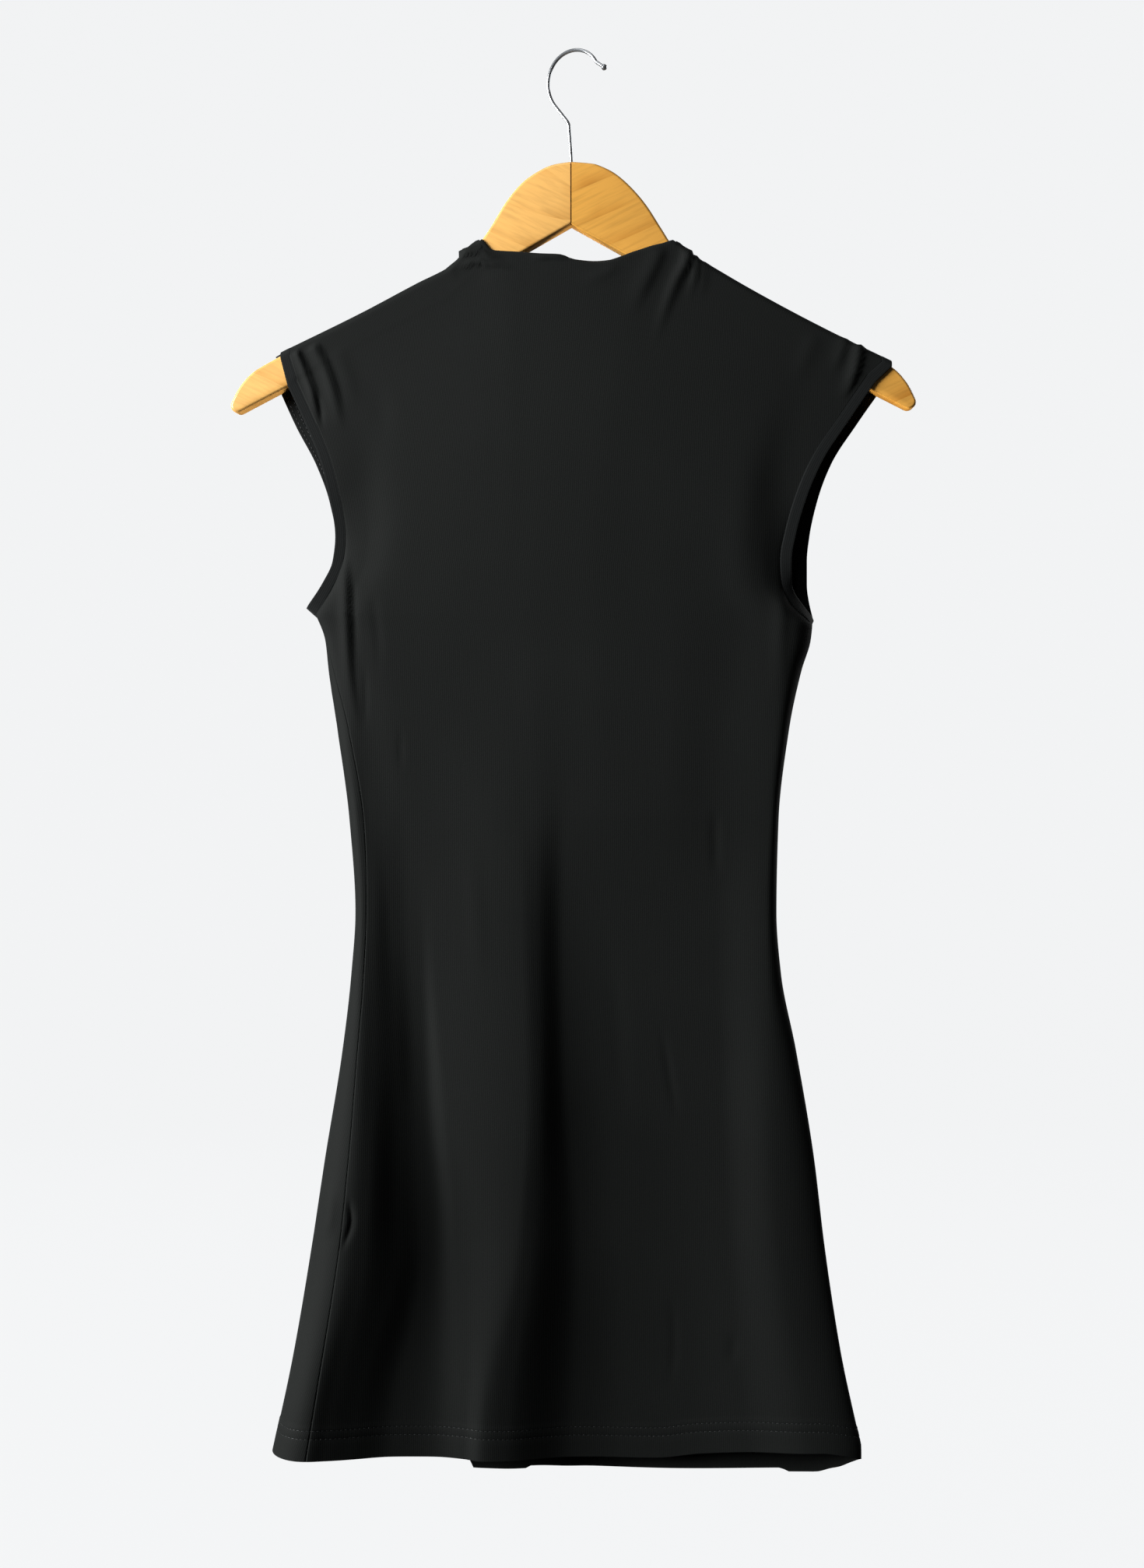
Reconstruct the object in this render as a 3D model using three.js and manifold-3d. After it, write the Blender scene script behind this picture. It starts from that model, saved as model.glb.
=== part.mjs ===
// Sleeveless tunic with a funnel neck, hanging on a wooden hanger with a wire hook.
// Millimetres. +X is to the right as seen from the front, the front faces -Y, and +Z is up.
// The origin is the inner top of the hook's loop, where a rod or a nail carries the hanger.

import * as THREE from 'three';
import { mergeVertices } from 'three/addons/utils/BufferGeometryUtils.js';
import Module from 'manifold-3d';

const wasm = await Module();
wasm.setup();

// ---------------------------------------------------------------- driving dimensions

const CLOTH = 1.2;            // wall of one layer of jersey
const TURNED_CLOTH = 1.8;     // wall where the hem is turned up
const BAND_CLOTH = 1.4;       // wall of a folded armhole band
const SEAM_GAP = 0.3;         // between two panels that are sewn together, and between two tiles
const BAND_GAP = 0.5;         // between an armhole band and the panels
const BAND_PROUD = 0.3;       // how far a band stands out from the panels
const BAND_WIDTH = 7.5;
const HEM_DEPTH = 18;

const STEM = new THREE.Vector3(-2.1, 1.8, 0);   // axis of the hook's stem, and the mitre of the hanger
const ARM_THICKNESS = 12;
const ARM_ROUNDING = 3;
// Each arm bends back by 3.1 degrees, as shoulders do, and the hanger is turned on its hook by 1.9.
const ARM_SWEEP = { left: THREE.MathUtils.degToRad(5), right: THREE.MathUtils.degToRad(1.2) };
const ARM_CLEARANCE = 0.5;                       // from the wood to the cloth over it
const MITRE_GAP = 0.3;
const STEM_CLEARANCE = 0.3;                      // round the hook's stem in its hole

const WIRE = 2.4;
const LOOP_TURN = THREE.MathUtils.degToRad(-20); // the hook is turned on its stem
const STEM_OFFSET = 2.23;                        // from the loop's top to the stem
const STEM_DEPTH = 20;                           // of the stem inside the wood
const BALL_RADIUS = 2;
const HANGER_TOP = -72.5;
const HANGER_APEX = -113.1;                      // underside of the hanger at the mitre

const BLACK_JERSEY = { color: 0x1d1f1e, roughness: 0.85, metalness: 0 };
const HONEY_WOOD = { color: 0xe3a94f, roughness: 0.35, metalness: 0 };
const BRIGHT_WIRE = { color: 0xc9ccd0, roughness: 0.15, metalness: 1 };

// ---------------------------------------------------------------- the cut of the tunic

// Outline of the body, from under the arms to the hem: how far out the side folds lie, their depth,
// and how far the left side seam has rolled in from the left fold, onto the front.
const outline = [
  { z: -366, left: -168.5, leftY: 14, right: 155.4, rightY: 10, seam: 0 },
  { z: -382, left: -163.0, leftY: 13.5, right: 153.9, rightY: 9.5, seam: 1 },
  { z: -402, left: -160.8, leftY: 13, right: 147.9, rightY: 9, seam: 4 },
  { z: -440, left: -155.0, leftY: 12, right: 139.8, rightY: 8, seam: 8 },
  { z: -500, left: -146.8, leftY: 11, right: 132.7, rightY: 6, seam: 10 },
  { z: -560, left: -142.8, leftY: 10, right: 131.4, rightY: 6, seam: 8 },
  { z: -600, left: -145.4, leftY: 9, right: 134.5, rightY: 7, seam: 9 },
  { z: -650, left: -151.2, leftY: 9, right: 144.5, rightY: 9, seam: 11 },
  { z: -720, left: -162.5, leftY: 9, right: 156.5, rightY: 12, seam: 17 },
  { z: -780, left: -171.6, leftY: 9, right: 164.0, rightY: 15, seam: 20 },
  { z: -850, left: -183.5, leftY: 8, right: 175.0, rightY: 18, seam: 21 },
  { z: -912, left: -196.7, leftY: 7, right: 188.5, rightY: 20, seam: 24 },
];

// The long soft folds: where each one runs (x) and how deep it lies (y) at the fold heights.
const foldHeights = [-372, -457, -560, -675, -776, -877, -912];
const frontFolds = [
  {
    name: 'rolled side',
    x: [-153, -144, -137, -140, -148, -169, -174],
    y: [5, 1.5, -3, -9, -17, -18.5, -18],
  },
  {
    name: 'side wall',
    x: [-148, -138, -130, -131, -135, -157, -162],
    y: [4.3, 2, -2.5, -7, -14.5, -15, -14.5],
  },
  {
    name: 'valley wall',
    x: [-135, -128, -120, -115, -115, -140, -145],
    y: [2.6, 1.5, -0.5, -0.7, -5, -8.5, -8.5],
  },
  {
    name: 'valley',
    x: [-120, -118, -108, -104, -99, -116, -119],
    y: [1.6, 0.5, 0.5, 2.8, 2.2, 0.5, 0.5],
  },
  {
    name: 'bottom of the valley',
    x: [-105, -105, -100, -96, -87, -90, -91],
    y: [0.8, 0, 0.3, 3.6, 4.6, 4, 4],
  },
  {
    name: 'left brow',
    x: [-92, -92, -92, -85, -76, -71, -71],
    y: [0.1, -0.5, -0.5, -0.2, 2.4, 0.2, 0.2],
  },
  {
    name: 'main ridge',
    x: [-40, -38, -34, -33, -38, -58, -61],
    y: [-2.3, -3.2, -5.2, -6, -2.7, -3.5, -3.5],
  },
  {
    name: 'head of the drop',
    x: [-25, -25, -24, -25, -27, -47, -50],
    y: [-3, -3.8, -4, -4.5, -1.1, -1.2, -1.2],
  },
  {
    name: 'foot of the drop',
    x: [-5, -5, -8, -6, 4, 1, -1],
    y: [-3.5, -4.2, 0.6, 3.2, 10.5, 15, 15],
  },
  {
    name: 'flat',
    x: [20, 20, 22, 22, 30, 26, 26],
    y: [-4, -4.8, 1.5, 6.5, 13.5, 19, 19],
  },
  {
    name: 'end of the flat',
    x: [60, 60, 60, 65, 70, 75, 78],
    y: [-4, -4.8, 1.7, 7.3, 14.6, 20, 20],
  },
  {
    name: 'right valley',
    x: [105, 96, 92, 96, 101, 110, 115],
    y: [-3.2, -3.5, 1.5, 7, 13.5, 18.5, 18.5],
  },
  {
    name: 'right ridge',
    x: [139, 129, 125, 127, 133, 149, 154],
    y: [-2.6, -2.5, -1, 2.5, 8, 13, 13],
  },
];
const backFolds = [
  {
    name: 'left ridge',
    x: [-140, -135, -122, -128, -140, -158, -164],
    y: [22, 18, 17, 19, 23, 24, 24],
  },
  {
    name: 'left trough',
    x: [-75, -70, -60, -58, -52, -48, -47],
    y: [17, 15, 13, 14, 17, 20, 20],
  },
  {
    name: 'middle ridge',
    x: [-10, -5, 0, 4, 10, 14, 15],
    y: [10.5, 12, 14, 19.5, 26.5, 31, 31],
  },
  {
    name: 'right trough',
    x: [55, 55, 58, 62, 68, 74, 76],
    y: [11, 12, 13.5, 17.5, 25, 30, 30],
  },
  {
    name: 'right ridge',
    x: [125, 112, 105, 115, 132, 148, 155],
    y: [14, 13, 13.5, 18, 26, 32, 32],
  },
];

// The armholes: outer edge of the bands, from under the arm up to the hanger.
const armholes = [
  { z: -345, leftFront: -165.3, leftBack: -166.0, rightFront: 143.5, rightBack: 152.6 },
  { z: -330, leftFront: -158.2, leftBack: -159.0, rightFront: 143.4, rightBack: 152.6 },
  { z: -314, leftFront: -156.4, leftBack: -157.5, rightFront: 146.0, rightBack: 154.2 },
  { z: -290, leftFront: -159.8, leftBack: -161.7, rightFront: 151.5, rightBack: 159.5 },
  { z: -266, leftFront: -165.7, leftBack: -170.3, rightFront: 161.4, rightBack: 168.6 },
  { z: -240, leftFront: -176.3, leftBack: -184.0, rightFront: 178.4, rightBack: 185.4 },
  { z: -215, leftFront: -188.0, leftBack: -195.5, rightFront: 195.5, rightBack: 203.0 },
];
// Where the side seam meets the armhole, and which way the band's width points there.
const underarms = {
  left: { x: -176.4, y: 14, z: -360, inward: [0.8, -0.6] },
  right: { x: 156.3, y: 10, z: -369, inward: [-0.12, -0.99] },
};

// The top line over the shoulders and round the neck. s runs from the left armhole (0) to the right
// one (1). front and back are the heights of the outer face of the cloth on top of the hanger, or
// of the neck edge between the two neck points. lowX and low are where the same column of cloth
// passes the arm's underside.
const NECK_LEFT = 0.325;
const NECK_RIGHT = 0.655;
const topLine = [
  { s: 0.000, x: -188.0, front: -190.2, back: -190.2, lowX: -180.4, low: -212.0 },
  { s: 0.130, x: -139.0, front: -167.3, back: -167.3, lowX: -136.0, low: -187.5 },
  { s: 0.220, x: -102.5, front: -148.6, back: -148.6, lowX: -101.0, low: -170.0 },
  { s: 0.270, x: -82.0, front: -138.6, back: -138.6, lowX: -81.0, low: -160.0 },
  { s: 0.290, x: -76.5, front: -133.8, back: -133.8, lowX: -76.0, low: -155.0 },
  { s: 0.308, x: -70.0, front: -126.6, back: -126.6, lowX: -70.0, low: -150.0 },
  { s: 0.325, x: -62.0, front: -121.4, back: -121.4, lowX: -63.0, low: -146.0 },
  { s: 0.350, x: -53.0, front: -129.3, back: -129.0, lowX: -53.5, low: -147.0 },
  { s: 0.390, x: -35.0, front: -130.8, back: -129.5, lowX: -35.0, low: -148.0 },
  { s: 0.440, x: -14.0, front: -133.0, back: -130.0, lowX: -14.0, low: -150.0 },
  { s: 0.510, x: 13.6, front: -138.0, back: -131.5, lowX: 13.6, low: -153.0 },
  { s: 0.590, x: 42.0, front: -130.0, back: -128.8, lowX: 42.0, low: -148.0 },
  { s: 0.630, x: 57.0, front: -125.6, back: -125.6, lowX: 57.5, low: -146.0 },
  { s: 0.655, x: 66.0, front: -123.0, back: -123.0, lowX: 66.5, low: -148.0 },
  { s: 0.675, x: 74.5, front: -131.4, back: -131.4, lowX: 74.0, low: -153.0 },
  { s: 0.700, x: 85.0, front: -137.2, back: -137.2, lowX: 84.0, low: -158.5 },
  { s: 0.770, x: 111.5, front: -152.4, back: -152.4, lowX: 109.5, low: -173.0 },
  { s: 0.850, x: 141.0, front: -168.8, back: -168.8, lowX: 138.0, low: -188.5 },
  { s: 0.920, x: 168.5, front: -182.4, back: -182.4, lowX: 162.0, low: -200.5 },
  { s: 1.000, x: 199.5, front: -197.2, back: -197.2, lowX: 187.9, low: -211.5 },
];

// How the cloth turns over the top of the arm: back from the arm's face and up from its front edge.
const OVER_FRONT = ARM_THICKNESS / 2 + ARM_CLEARANCE + CLOTH / 2;
const OVER_ROUND = ARM_ROUNDING + ARM_CLEARANCE + CLOTH / 2 + 0.2;
const overTheArm = [
  { back: 0, up: 0 },
  { back: OVER_ROUND * 0.3, up: OVER_ROUND * 0.7 },
  { back: OVER_ROUND, up: OVER_ROUND },
  { back: OVER_FRONT, up: OVER_ROUND },
];

// The lowest edge. The back hangs lower than the front.
const hemLine = [
  { s: 0.000, front: -909.0, back: -909.0 },
  { s: 0.060, front: -909.5, back: -909.3 },
  { s: 0.150, front: -912.6, back: -910.2 },
  { s: 0.280, front: -913.6, back: -915.5 },
  { s: 0.380, front: -916.0, back: -925.0 },
  { s: 0.490, front: -918.0, back: -926.2 },
  { s: 0.635, front: -920.0, back: -929.3 },
  { s: 0.710, front: -917.4, back: -930.1 },
  { s: 0.815, front: -915.8, back: -930.5 },
  { s: 0.885, front: -915.5, back: -933.0 },
  { s: 0.926, front: -915.4, back: -933.0 },
  { s: 0.962, front: -916.8, back: -927.2 },
  { s: 1.000, front: -919.0, back: -919.0 },
];

// ---------------------------------------------------------------- small helpers

const lerp = THREE.MathUtils.lerp;

function spread(from, to, count) {
  return Array.from({ length: count + 1 }, (_, i) => lerp(from, to, i / count));
}

// A smooth curve through one column of a table, with no overshoot at a peak. With level ends it
// leaves its first point and reaches its last one without a slope.
function smooth(keys, values, key, levelEnds = false) {
  const rising = keys[1] > keys[0] ? 1 : -1;
  const last = keys.length - 1;
  if ((key - keys[0]) * rising <= 0) return values[0];
  if ((key - keys[last]) * rising >= 0) return values[last];
  let i = 0;
  while ((key - keys[i + 1]) * rising > 0) i += 1;
  const slope = (a) => (values[a + 1] - values[a]) / (keys[a + 1] - keys[a]);
  const tangent = (a) => {
    if (a === 0 || a === last) return levelEnds ? 0 : slope(Math.min(a, last - 1));
    const before = slope(a - 1);
    const after = slope(a);
    return before * after <= 0 ? 0 : (2 * before * after) / (before + after);
  };
  const span = keys[i + 1] - keys[i];
  const t = (key - keys[i]) / span;
  const bulge = t * t * (3 - 2 * t);
  return values[i] + (values[i + 1] - values[i]) * bulge
    + span * (tangent(i) * t * (1 - t) ** 2 - tangent(i + 1) * t * t * (1 - t));
}

function column(table, by, name, key) {
  return smooth(table.map((row) => row[by]), table.map((row) => row[name]), key);
}

// The point at a fraction of a line's length, with a little trimmed off both of its ends.
function alongLine(line, fraction, trim) {
  const steps = line.slice(1).map((p, i) => p.distanceTo(line[i]));
  const total = steps.reduce((a, b) => a + b, 0);
  let rest = lerp(trim, total - trim, fraction);
  let i = 0;
  while (i < steps.length - 1 && rest > steps[i]) {
    rest -= steps[i];
    i += 1;
  }
  const point = line[i].clone().lerp(line[i + 1], rest / steps[i]);
  return { point, way: line[i + 1].clone().sub(line[i]).normalize() };
}

function solidOf(geometry) {
  const bare = geometry.clone();
  bare.deleteAttribute('normal');
  bare.deleteAttribute('uv');
  const merged = mergeVertices(bare, 1e-3);
  return new wasm.Manifold(new wasm.Mesh({
    numProp: 3,
    vertProperties: merged.attributes.position.array,
    triVerts: new Uint32Array(merged.index.array),
  }));
}

function geometryOf(solid) {
  const mesh = solid.getMesh();
  const geometry = new THREE.BufferGeometry();
  geometry.setAttribute('position', new THREE.BufferAttribute(mesh.vertProperties, 3));
  geometry.setIndex(new THREE.BufferAttribute(mesh.triVerts, 1));
  return geometry;
}

function piece(name, geometry, finish) {
  const mesh = new THREE.Mesh(geometry, new THREE.MeshStandardMaterial(finish));
  mesh.name = name;
  return mesh;
}

// ---------------------------------------------------------------- cloth walls

// A grid of points in the middle of the cloth becomes a closed wall. Cells with a missing corner
// are left open, and every free edge is closed. A looped grid joins its last row to its first.
// A point may bring its own outward direction.
function clothWall({ grid, wall, turned = false, looped = false }) {
  const rows = grid.length;
  const columns = grid[0].length;
  const rowAt = (r) => (looped ? (r + rows) % rows : r);
  const has = (r, c) => c >= 0 && c < columns && (looped || (r >= 0 && r < rows)) && !!grid[rowAt(r)][c];
  const used = (r, c) => has(r, c) && has(r, c + 1) && has(r + 1, c) && has(r + 1, c + 1);

  const normals = grid.map((row) => row.map(() => new THREE.Vector3()));
  const cellRows = looped ? rows : rows - 1;
  const cells = [];
  for (let r = 0; r < cellRows; r += 1) {
    for (let c = 0; c < columns - 1; c += 1) {
      if (!used(r, c)) continue;
      const corners = [[r, c], [r, c + 1], [rowAt(r + 1), c + 1], [rowAt(r + 1), c]];
      const [a, b, d, e] = corners.map(([i, j]) => grid[i][j]);
      const normal = d.clone().sub(a).cross(e.clone().sub(b)).normalize();
      if (turned) normal.negate();
      corners.forEach(([i, j]) => normals[i][j].add(normal));
      cells.push({ r, c, corners });
    }
  }

  const positions = [];
  const numbers = new Map();
  const vertex = (r, c, side) => {
    const key = `${r} ${c} ${side}`;
    if (!numbers.has(key)) {
      const outward = grid[r][c].outward || normals[r][c];
      const offset = outward.clone().normalize().multiplyScalar((side * wall(r, c)) / 2);
      numbers.set(key, positions.length / 3);
      positions.push(...grid[r][c].clone().add(offset).toArray());
    }
    return numbers.get(key);
  };
  const triangles = [];
  const quad = (a, b, c, d) => {
    const order = turned ? [a, c, b, a, d, c] : [a, b, c, a, c, d];
    triangles.push(...order);
  };
  const neighbours = [[-1, 0], [0, 1], [1, 0], [0, -1]];
  cells.forEach(({ r, c, corners }) => {
    const outer = corners.map(([i, j]) => vertex(i, j, 1));
    const inner = corners.map(([i, j]) => vertex(i, j, -1));
    quad(...outer);
    quad(inner[1], inner[0], inner[3], inner[2]);
    neighbours.forEach(([dr, dc], k) => {
      if (used(r + dr, c + dc)) return;
      const next = (k + 1) % 4;
      quad(outer[next], outer[k], inner[k], inner[next]);
    });
  });
  const geometry = new THREE.BufferGeometry();
  geometry.setAttribute('position', new THREE.Float32BufferAttribute(positions, 3));
  geometry.setIndex(triangles);
  return geometry;
}

// ---------------------------------------------------------------- the body below the arms

// Turning angles round a side fold, in degrees, with a short first step so that both panels meet
// it squarely.
const QUARTER = [0, 2, ...spread(15, 90, 5)].map(THREE.MathUtils.degToRad);
const WAVE_STEPS = 96;        // across the long folds

// One side of the ring at a height, seen from above, from the left fold to the right fold: a
// quarter ellipse round each side fold, and the long soft folds between them.
function ringSide(folds, z) {
  const left = column(outline, 'z', 'left', z);
  const right = column(outline, 'z', 'right', z);
  const leftY = column(outline, 'z', 'leftY', z);
  const rightY = column(outline, 'z', 'rightY', z);
  const knots = folds.map((fold) => new THREE.Vector2(
    smooth(foldHeights, fold.x, z),
    smooth(foldHeights, fold.y, z),
  ));
  const first = knots[0];
  const last = knots[knots.length - 1];
  const start = QUARTER.map((turn) => new THREE.Vector2(
    lerp(first.x, left, Math.cos(turn)),
    lerp(leftY, first.y, Math.sin(turn)),
  ));
  const knotX = knots.map((knot) => knot.x);
  const knotY = knots.map((knot) => knot.y);
  const waves = spread(first.x, last.x, WAVE_STEPS).slice(1).map((x) => (
    new THREE.Vector2(x, smooth(knotX, knotY, x, true))
  ));
  const end = QUARTER.slice().reverse().slice(1).map((turn) => new THREE.Vector2(
    lerp(last.x, right, Math.cos(turn)),
    lerp(rightY, last.y, Math.sin(turn)),
  ));
  return [...start, ...waves, ...end];
}

// The ring's front side is parted at the left side seam: the back panel takes what lies left of it.
function panelLine(face, z) {
  const front = ringSide(frontFolds, z);
  const seamX = front[0].x + column(outline, 'z', 'seam', z);
  const cut = Math.max(1, front.findIndex((p) => p.x > seamX));
  const before = front[cut - 1];
  const seam = before.clone().lerp(front[cut], (seamX - before.x) / (front[cut].x - before.x));
  if (face === 'front') return [seam, ...front.slice(cut)];
  const rolled = front.slice(0, cut).reverse();
  const back = ringSide(backFolds, z);
  const apart = seam.distanceTo(rolled[0]) > SEAM_GAP / 3;
  return [...(apart ? [seam] : []), ...rolled, ...back.slice(1)];
}

function bodyPoint(face, s, z) {
  const { point, way } = alongLine(panelLine(face, z), s, SEAM_GAP / 2);
  const place = new THREE.Vector3(point.x, point.y, z);
  place.outward = new THREE.Vector3(way.y, -way.x, 0).multiplyScalar(face === 'front' ? 1 : -1);
  return place;
}

// ---------------------------------------------------------------- the yoke above the arms

const side = { front: -1, back: 1 };

// The depth of the middle of the hanger's arms.
function middleY(x) {
  return STEM.y + Math.tan(x < STEM.x ? ARM_SWEEP.left : ARM_SWEEP.right) * Math.abs(x - STEM.x);
}

// The depth of the cloth on a face of the hanger. At the neck it runs straight across.
const NECK_SPAN = { from: -38, to: 34 };
function faceY(face, x) {
  const { from, to } = NECK_SPAN;
  const straight = lerp(middleY(from), middleY(to), (x - from) / (to - from));
  const middle = x > from && x < to ? straight : middleY(x);
  return middle + side[face] * OVER_FRONT;
}

const YOKE_ROWS = 8;
const yokeSteps = spread(0, 1, YOKE_ROWS);

// The outer edge of an armhole, from the side seam (t = 0) to the underside of the arm (t = 1).
function armholeEdge(hand, face, t) {
  const under = underarms[hand];
  const name = hand + (face === 'front' ? 'Front' : 'Back');
  const rows = [{ z: under.z, [name]: under.x }, ...armholes];
  const top = rows[rows.length - 1].z;
  const z = lerp(under.z, top, t);
  const x = column(rows, 'z', name, z);
  const sheltered = (1 - t) ** 2;
  const gap = (OVER_FRONT + BAND_PROUD) * Math.sqrt(1 - sheltered * sheltered);
  const y = lerp(middleY(x), under.y, sheltered) + side[face] * gap;
  return new THREE.Vector3(x, y, z);
}

// The way across an armhole band, from its outer edge towards the body. Near the side seam it
// turns to the way that underarms gives.
const UNDERARM_TURN = 0.25;
function bandWay(hand, face, t) {
  const step = 0.02;
  const a = armholeEdge(hand, face, Math.max(0, t - step));
  const b = armholeEdge(hand, face, Math.min(1, t + step));
  const along = b.sub(a).normalize();
  const inward = hand === 'left' ? 1 : -1;
  const across = new THREE.Vector3(along.z * inward, 0, -along.x * inward).normalize();
  const [underX, underZ] = underarms[hand].inward;
  const under = new THREE.Vector3(underX, 0, underZ);
  return across.lerp(under, Math.max(0, 1 - t / UNDERARM_TURN)).normalize();
}

// Points of an armhole band at a distance across it, from 0 at its outer edge. Over the hanger the
// band follows the slope of the arm.
const ARM_SLOPE = THREE.MathUtils.degToRad(26);
function bandColumn(hand, face, across) {
  const yoke = yokeSteps.map((t) => (
    armholeEdge(hand, face, t).add(bandWay(hand, face, t).multiplyScalar(across))
  ));
  const end = topLine[hand === 'left' ? 0 : topLine.length - 1];
  const inward = hand === 'left' ? 1 : -1;
  const out = BAND_WIDTH + BAND_GAP - across;
  const topX = end.x - inward * out * Math.cos(ARM_SLOPE);
  const topZ = end[face] - CLOTH / 2 + BAND_PROUD - out * Math.sin(ARM_SLOPE);
  const lowest = yoke[YOKE_ROWS];
  const arm = [0.5, 1].map((t) => {
    const x = lerp(lowest.x, topX, t);
    const y = faceY(face, x) + side[face] * BAND_PROUD;
    return new THREE.Vector3(x, y, lerp(lowest.z, topZ - OVER_ROUND, t));
  });
  const over = overTheArm.slice(1).map(({ back, up }) => (
    new THREE.Vector3(topX, lerp(arm[1].y, middleY(topX), back / OVER_FRONT), topZ - OVER_ROUND + up)
  ));
  return [...yoke, ...arm, ...over];
}

// ---------------------------------------------------------------- panels

const HEM_ROWS = 2;
const BODY_ROWS = 18;
const shoulderColumns = [0, 0.015, 0.035, 0.06, 0.09, 0.13, 0.175, 0.22, 0.27, 0.29, 0.308, NECK_LEFT];
const neckColumns = [0.35, 0.37, 0.39, 0.415, 0.44, 0.465, 0.49, 0.515, 0.54, 0.59, 0.63];
const farColumns = [NECK_RIGHT, 0.675, 0.7, 0.75, 0.8, 0.85, 0.895, 0.93, 0.96, 0.985, 1];
const panelColumns = [...shoulderColumns, ...neckColumns, ...farColumns];

function isShoulder(s) {
  return s <= NECK_LEFT || s >= NECK_RIGHT;
}

// A patch between four lines that meet at its corners.
function patch(bottom, top, left, right, s, t) {
  const mix = (a, b, f) => a.clone().lerp(b, f);
  const upright = mix(bottom(s), top(s), t);
  const level = mix(left(t), right(t), s);
  const corners = mix(mix(bottom(0), bottom(1), s), mix(top(0), top(1), s), t);
  return upright.add(level).sub(corners);
}

function panelGrid(face) {
  const edges = {
    left: bandColumn('left', face, BAND_WIDTH + BAND_GAP),
    right: bandColumn('right', face, BAND_WIDTH + BAND_GAP),
  };
  const underZ = (s) => lerp(edges.left[0].z, edges.right[0].z, s) - SEAM_GAP;
  const under = (s) => bodyPoint(face, s, underZ(s));
  const lower = (s) => {
    const x = column(topLine, 's', 'lowX', s);
    return new THREE.Vector3(x, faceY(face, x), column(topLine, 's', 'low', s));
  };
  // A side of the patch follows the band, and runs into the patch's own corners at its ends.
  const CORNER_EASE = 4;
  const sideLine = (edge, s) => (t) => {
    const at = Math.min(Math.floor(t * YOKE_ROWS), YOKE_ROWS - 1);
    const p = edge[at].clone().lerp(edge[at + 1], t * YOKE_ROWS - at);
    const atBottom = under(s).sub(edge[0]).multiplyScalar((1 - t) ** CORNER_EASE);
    const atTop = lower(s).sub(edge[YOKE_ROWS]).multiplyScalar(t ** CORNER_EASE);
    return p.add(atBottom).add(atTop);
  };
  const left = sideLine(edges.left, 0);
  const right = sideLine(edges.right, 1);

  const row = (point) => panelColumns.map(point);
  const hemTop = (s) => column(hemLine, 's', face, s) + HEM_DEPTH;
  const body = spread(1, 0, BODY_ROWS).map((t) => (
    row((s) => bodyPoint(face, s, lerp(underZ(s), hemTop(s), t)))
  ));
  const hem = [HEM_DEPTH, 1].map((down) => row((s) => bodyPoint(face, s, hemTop(s) - down)));
  const yoke = yokeSteps.slice(1).map((t) => row((s) => patch(under, lower, left, right, s, t)));
  const topPoint = (s) => {
    const x = column(topLine, 's', 'x', s);
    const down = isShoulder(s) ? OVER_ROUND + CLOTH / 2 : 0;
    return new THREE.Vector3(x, faceY(face, x), column(topLine, 's', face, s) - down);
  };
  const arm = [0.5, 1].map((t) => row((s) => {
    const p = lower(s).lerp(topPoint(s), t);
    return p.setY(faceY(face, p.x));
  }));
  const over = overTheArm.slice(1).map(({ back, up }) => row((s) => {
    if (!isShoulder(s)) return null;
    const p = topPoint(s);
    const centre = middleY(p.x) + (side[face] * SEAM_GAP) / 2;
    const reach = back / OVER_FRONT;
    return new THREE.Vector3(p.x, back === OVER_FRONT ? centre : lerp(p.y, centre, reach), p.z + up);
  }));
  return [...hem, ...body, ...yoke, ...arm, ...over];
}

// Each panel is made in tiles, four across and four up, that are parted by a fine gap. Every tile
// is a stretch of cloth that bends little.
const tileColumns = { left: [0, 0.22], mid_left: [0.22, 0.44], mid_right: [0.44, 0.75], right: [0.75, 1] };
const tileRows = {
  skirt: [0, HEM_ROWS + 5],
  hips: [HEM_ROWS + 5, HEM_ROWS + 11],
  waist: [HEM_ROWS + 11, HEM_ROWS + BODY_ROWS],
  yoke: [HEM_ROWS + BODY_ROWS, Infinity],
};

function moved(point, towards) {
  if (!point || !towards) return point;
  const place = point.clone().lerp(towards, SEAM_GAP / 2 / point.distanceTo(towards));
  place.outward = point.outward;
  return place;
}

function tile(grid, [firstRow, lastRow], [firstColumn, lastColumn]) {
  const top = Math.min(lastRow, grid.length - 1);
  const rows = grid.slice(firstRow, top + 1);
  if (firstRow > 0) rows[0] = rows[0].map((p, c) => moved(p, rows[1][c]));
  if (top < grid.length - 1) rows[rows.length - 1] = rows.at(-1).map((p, c) => moved(p, rows.at(-2)[c]));
  return rows.map((row) => {
    const cut = row.slice(firstColumn, lastColumn + 1);
    if (firstColumn > 0) cut[0] = moved(cut[0], cut[1]);
    if (lastColumn < row.length - 1) cut[cut.length - 1] = moved(cut.at(-1), cut.at(-2));
    return cut;
  });
}

function panel(face) {
  const grid = panelGrid(face);
  const tiles = [];
  Object.entries(tileRows).forEach(([height, rows]) => {
    Object.entries(tileColumns).forEach(([hand, ends]) => {
      const columns = ends.map((s) => panelColumns.indexOf(s));
      tiles.push(piece(`${face}_${height}_${hand}`, clothWall({
        grid: tile(grid, rows, columns),
        wall: (r) => (r + rows[0] < HEM_ROWS ? TURNED_CLOTH : CLOTH),
        turned: face === 'back',
      }), BLACK_JERSEY));
    });
  });
  return tiles;
}

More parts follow.
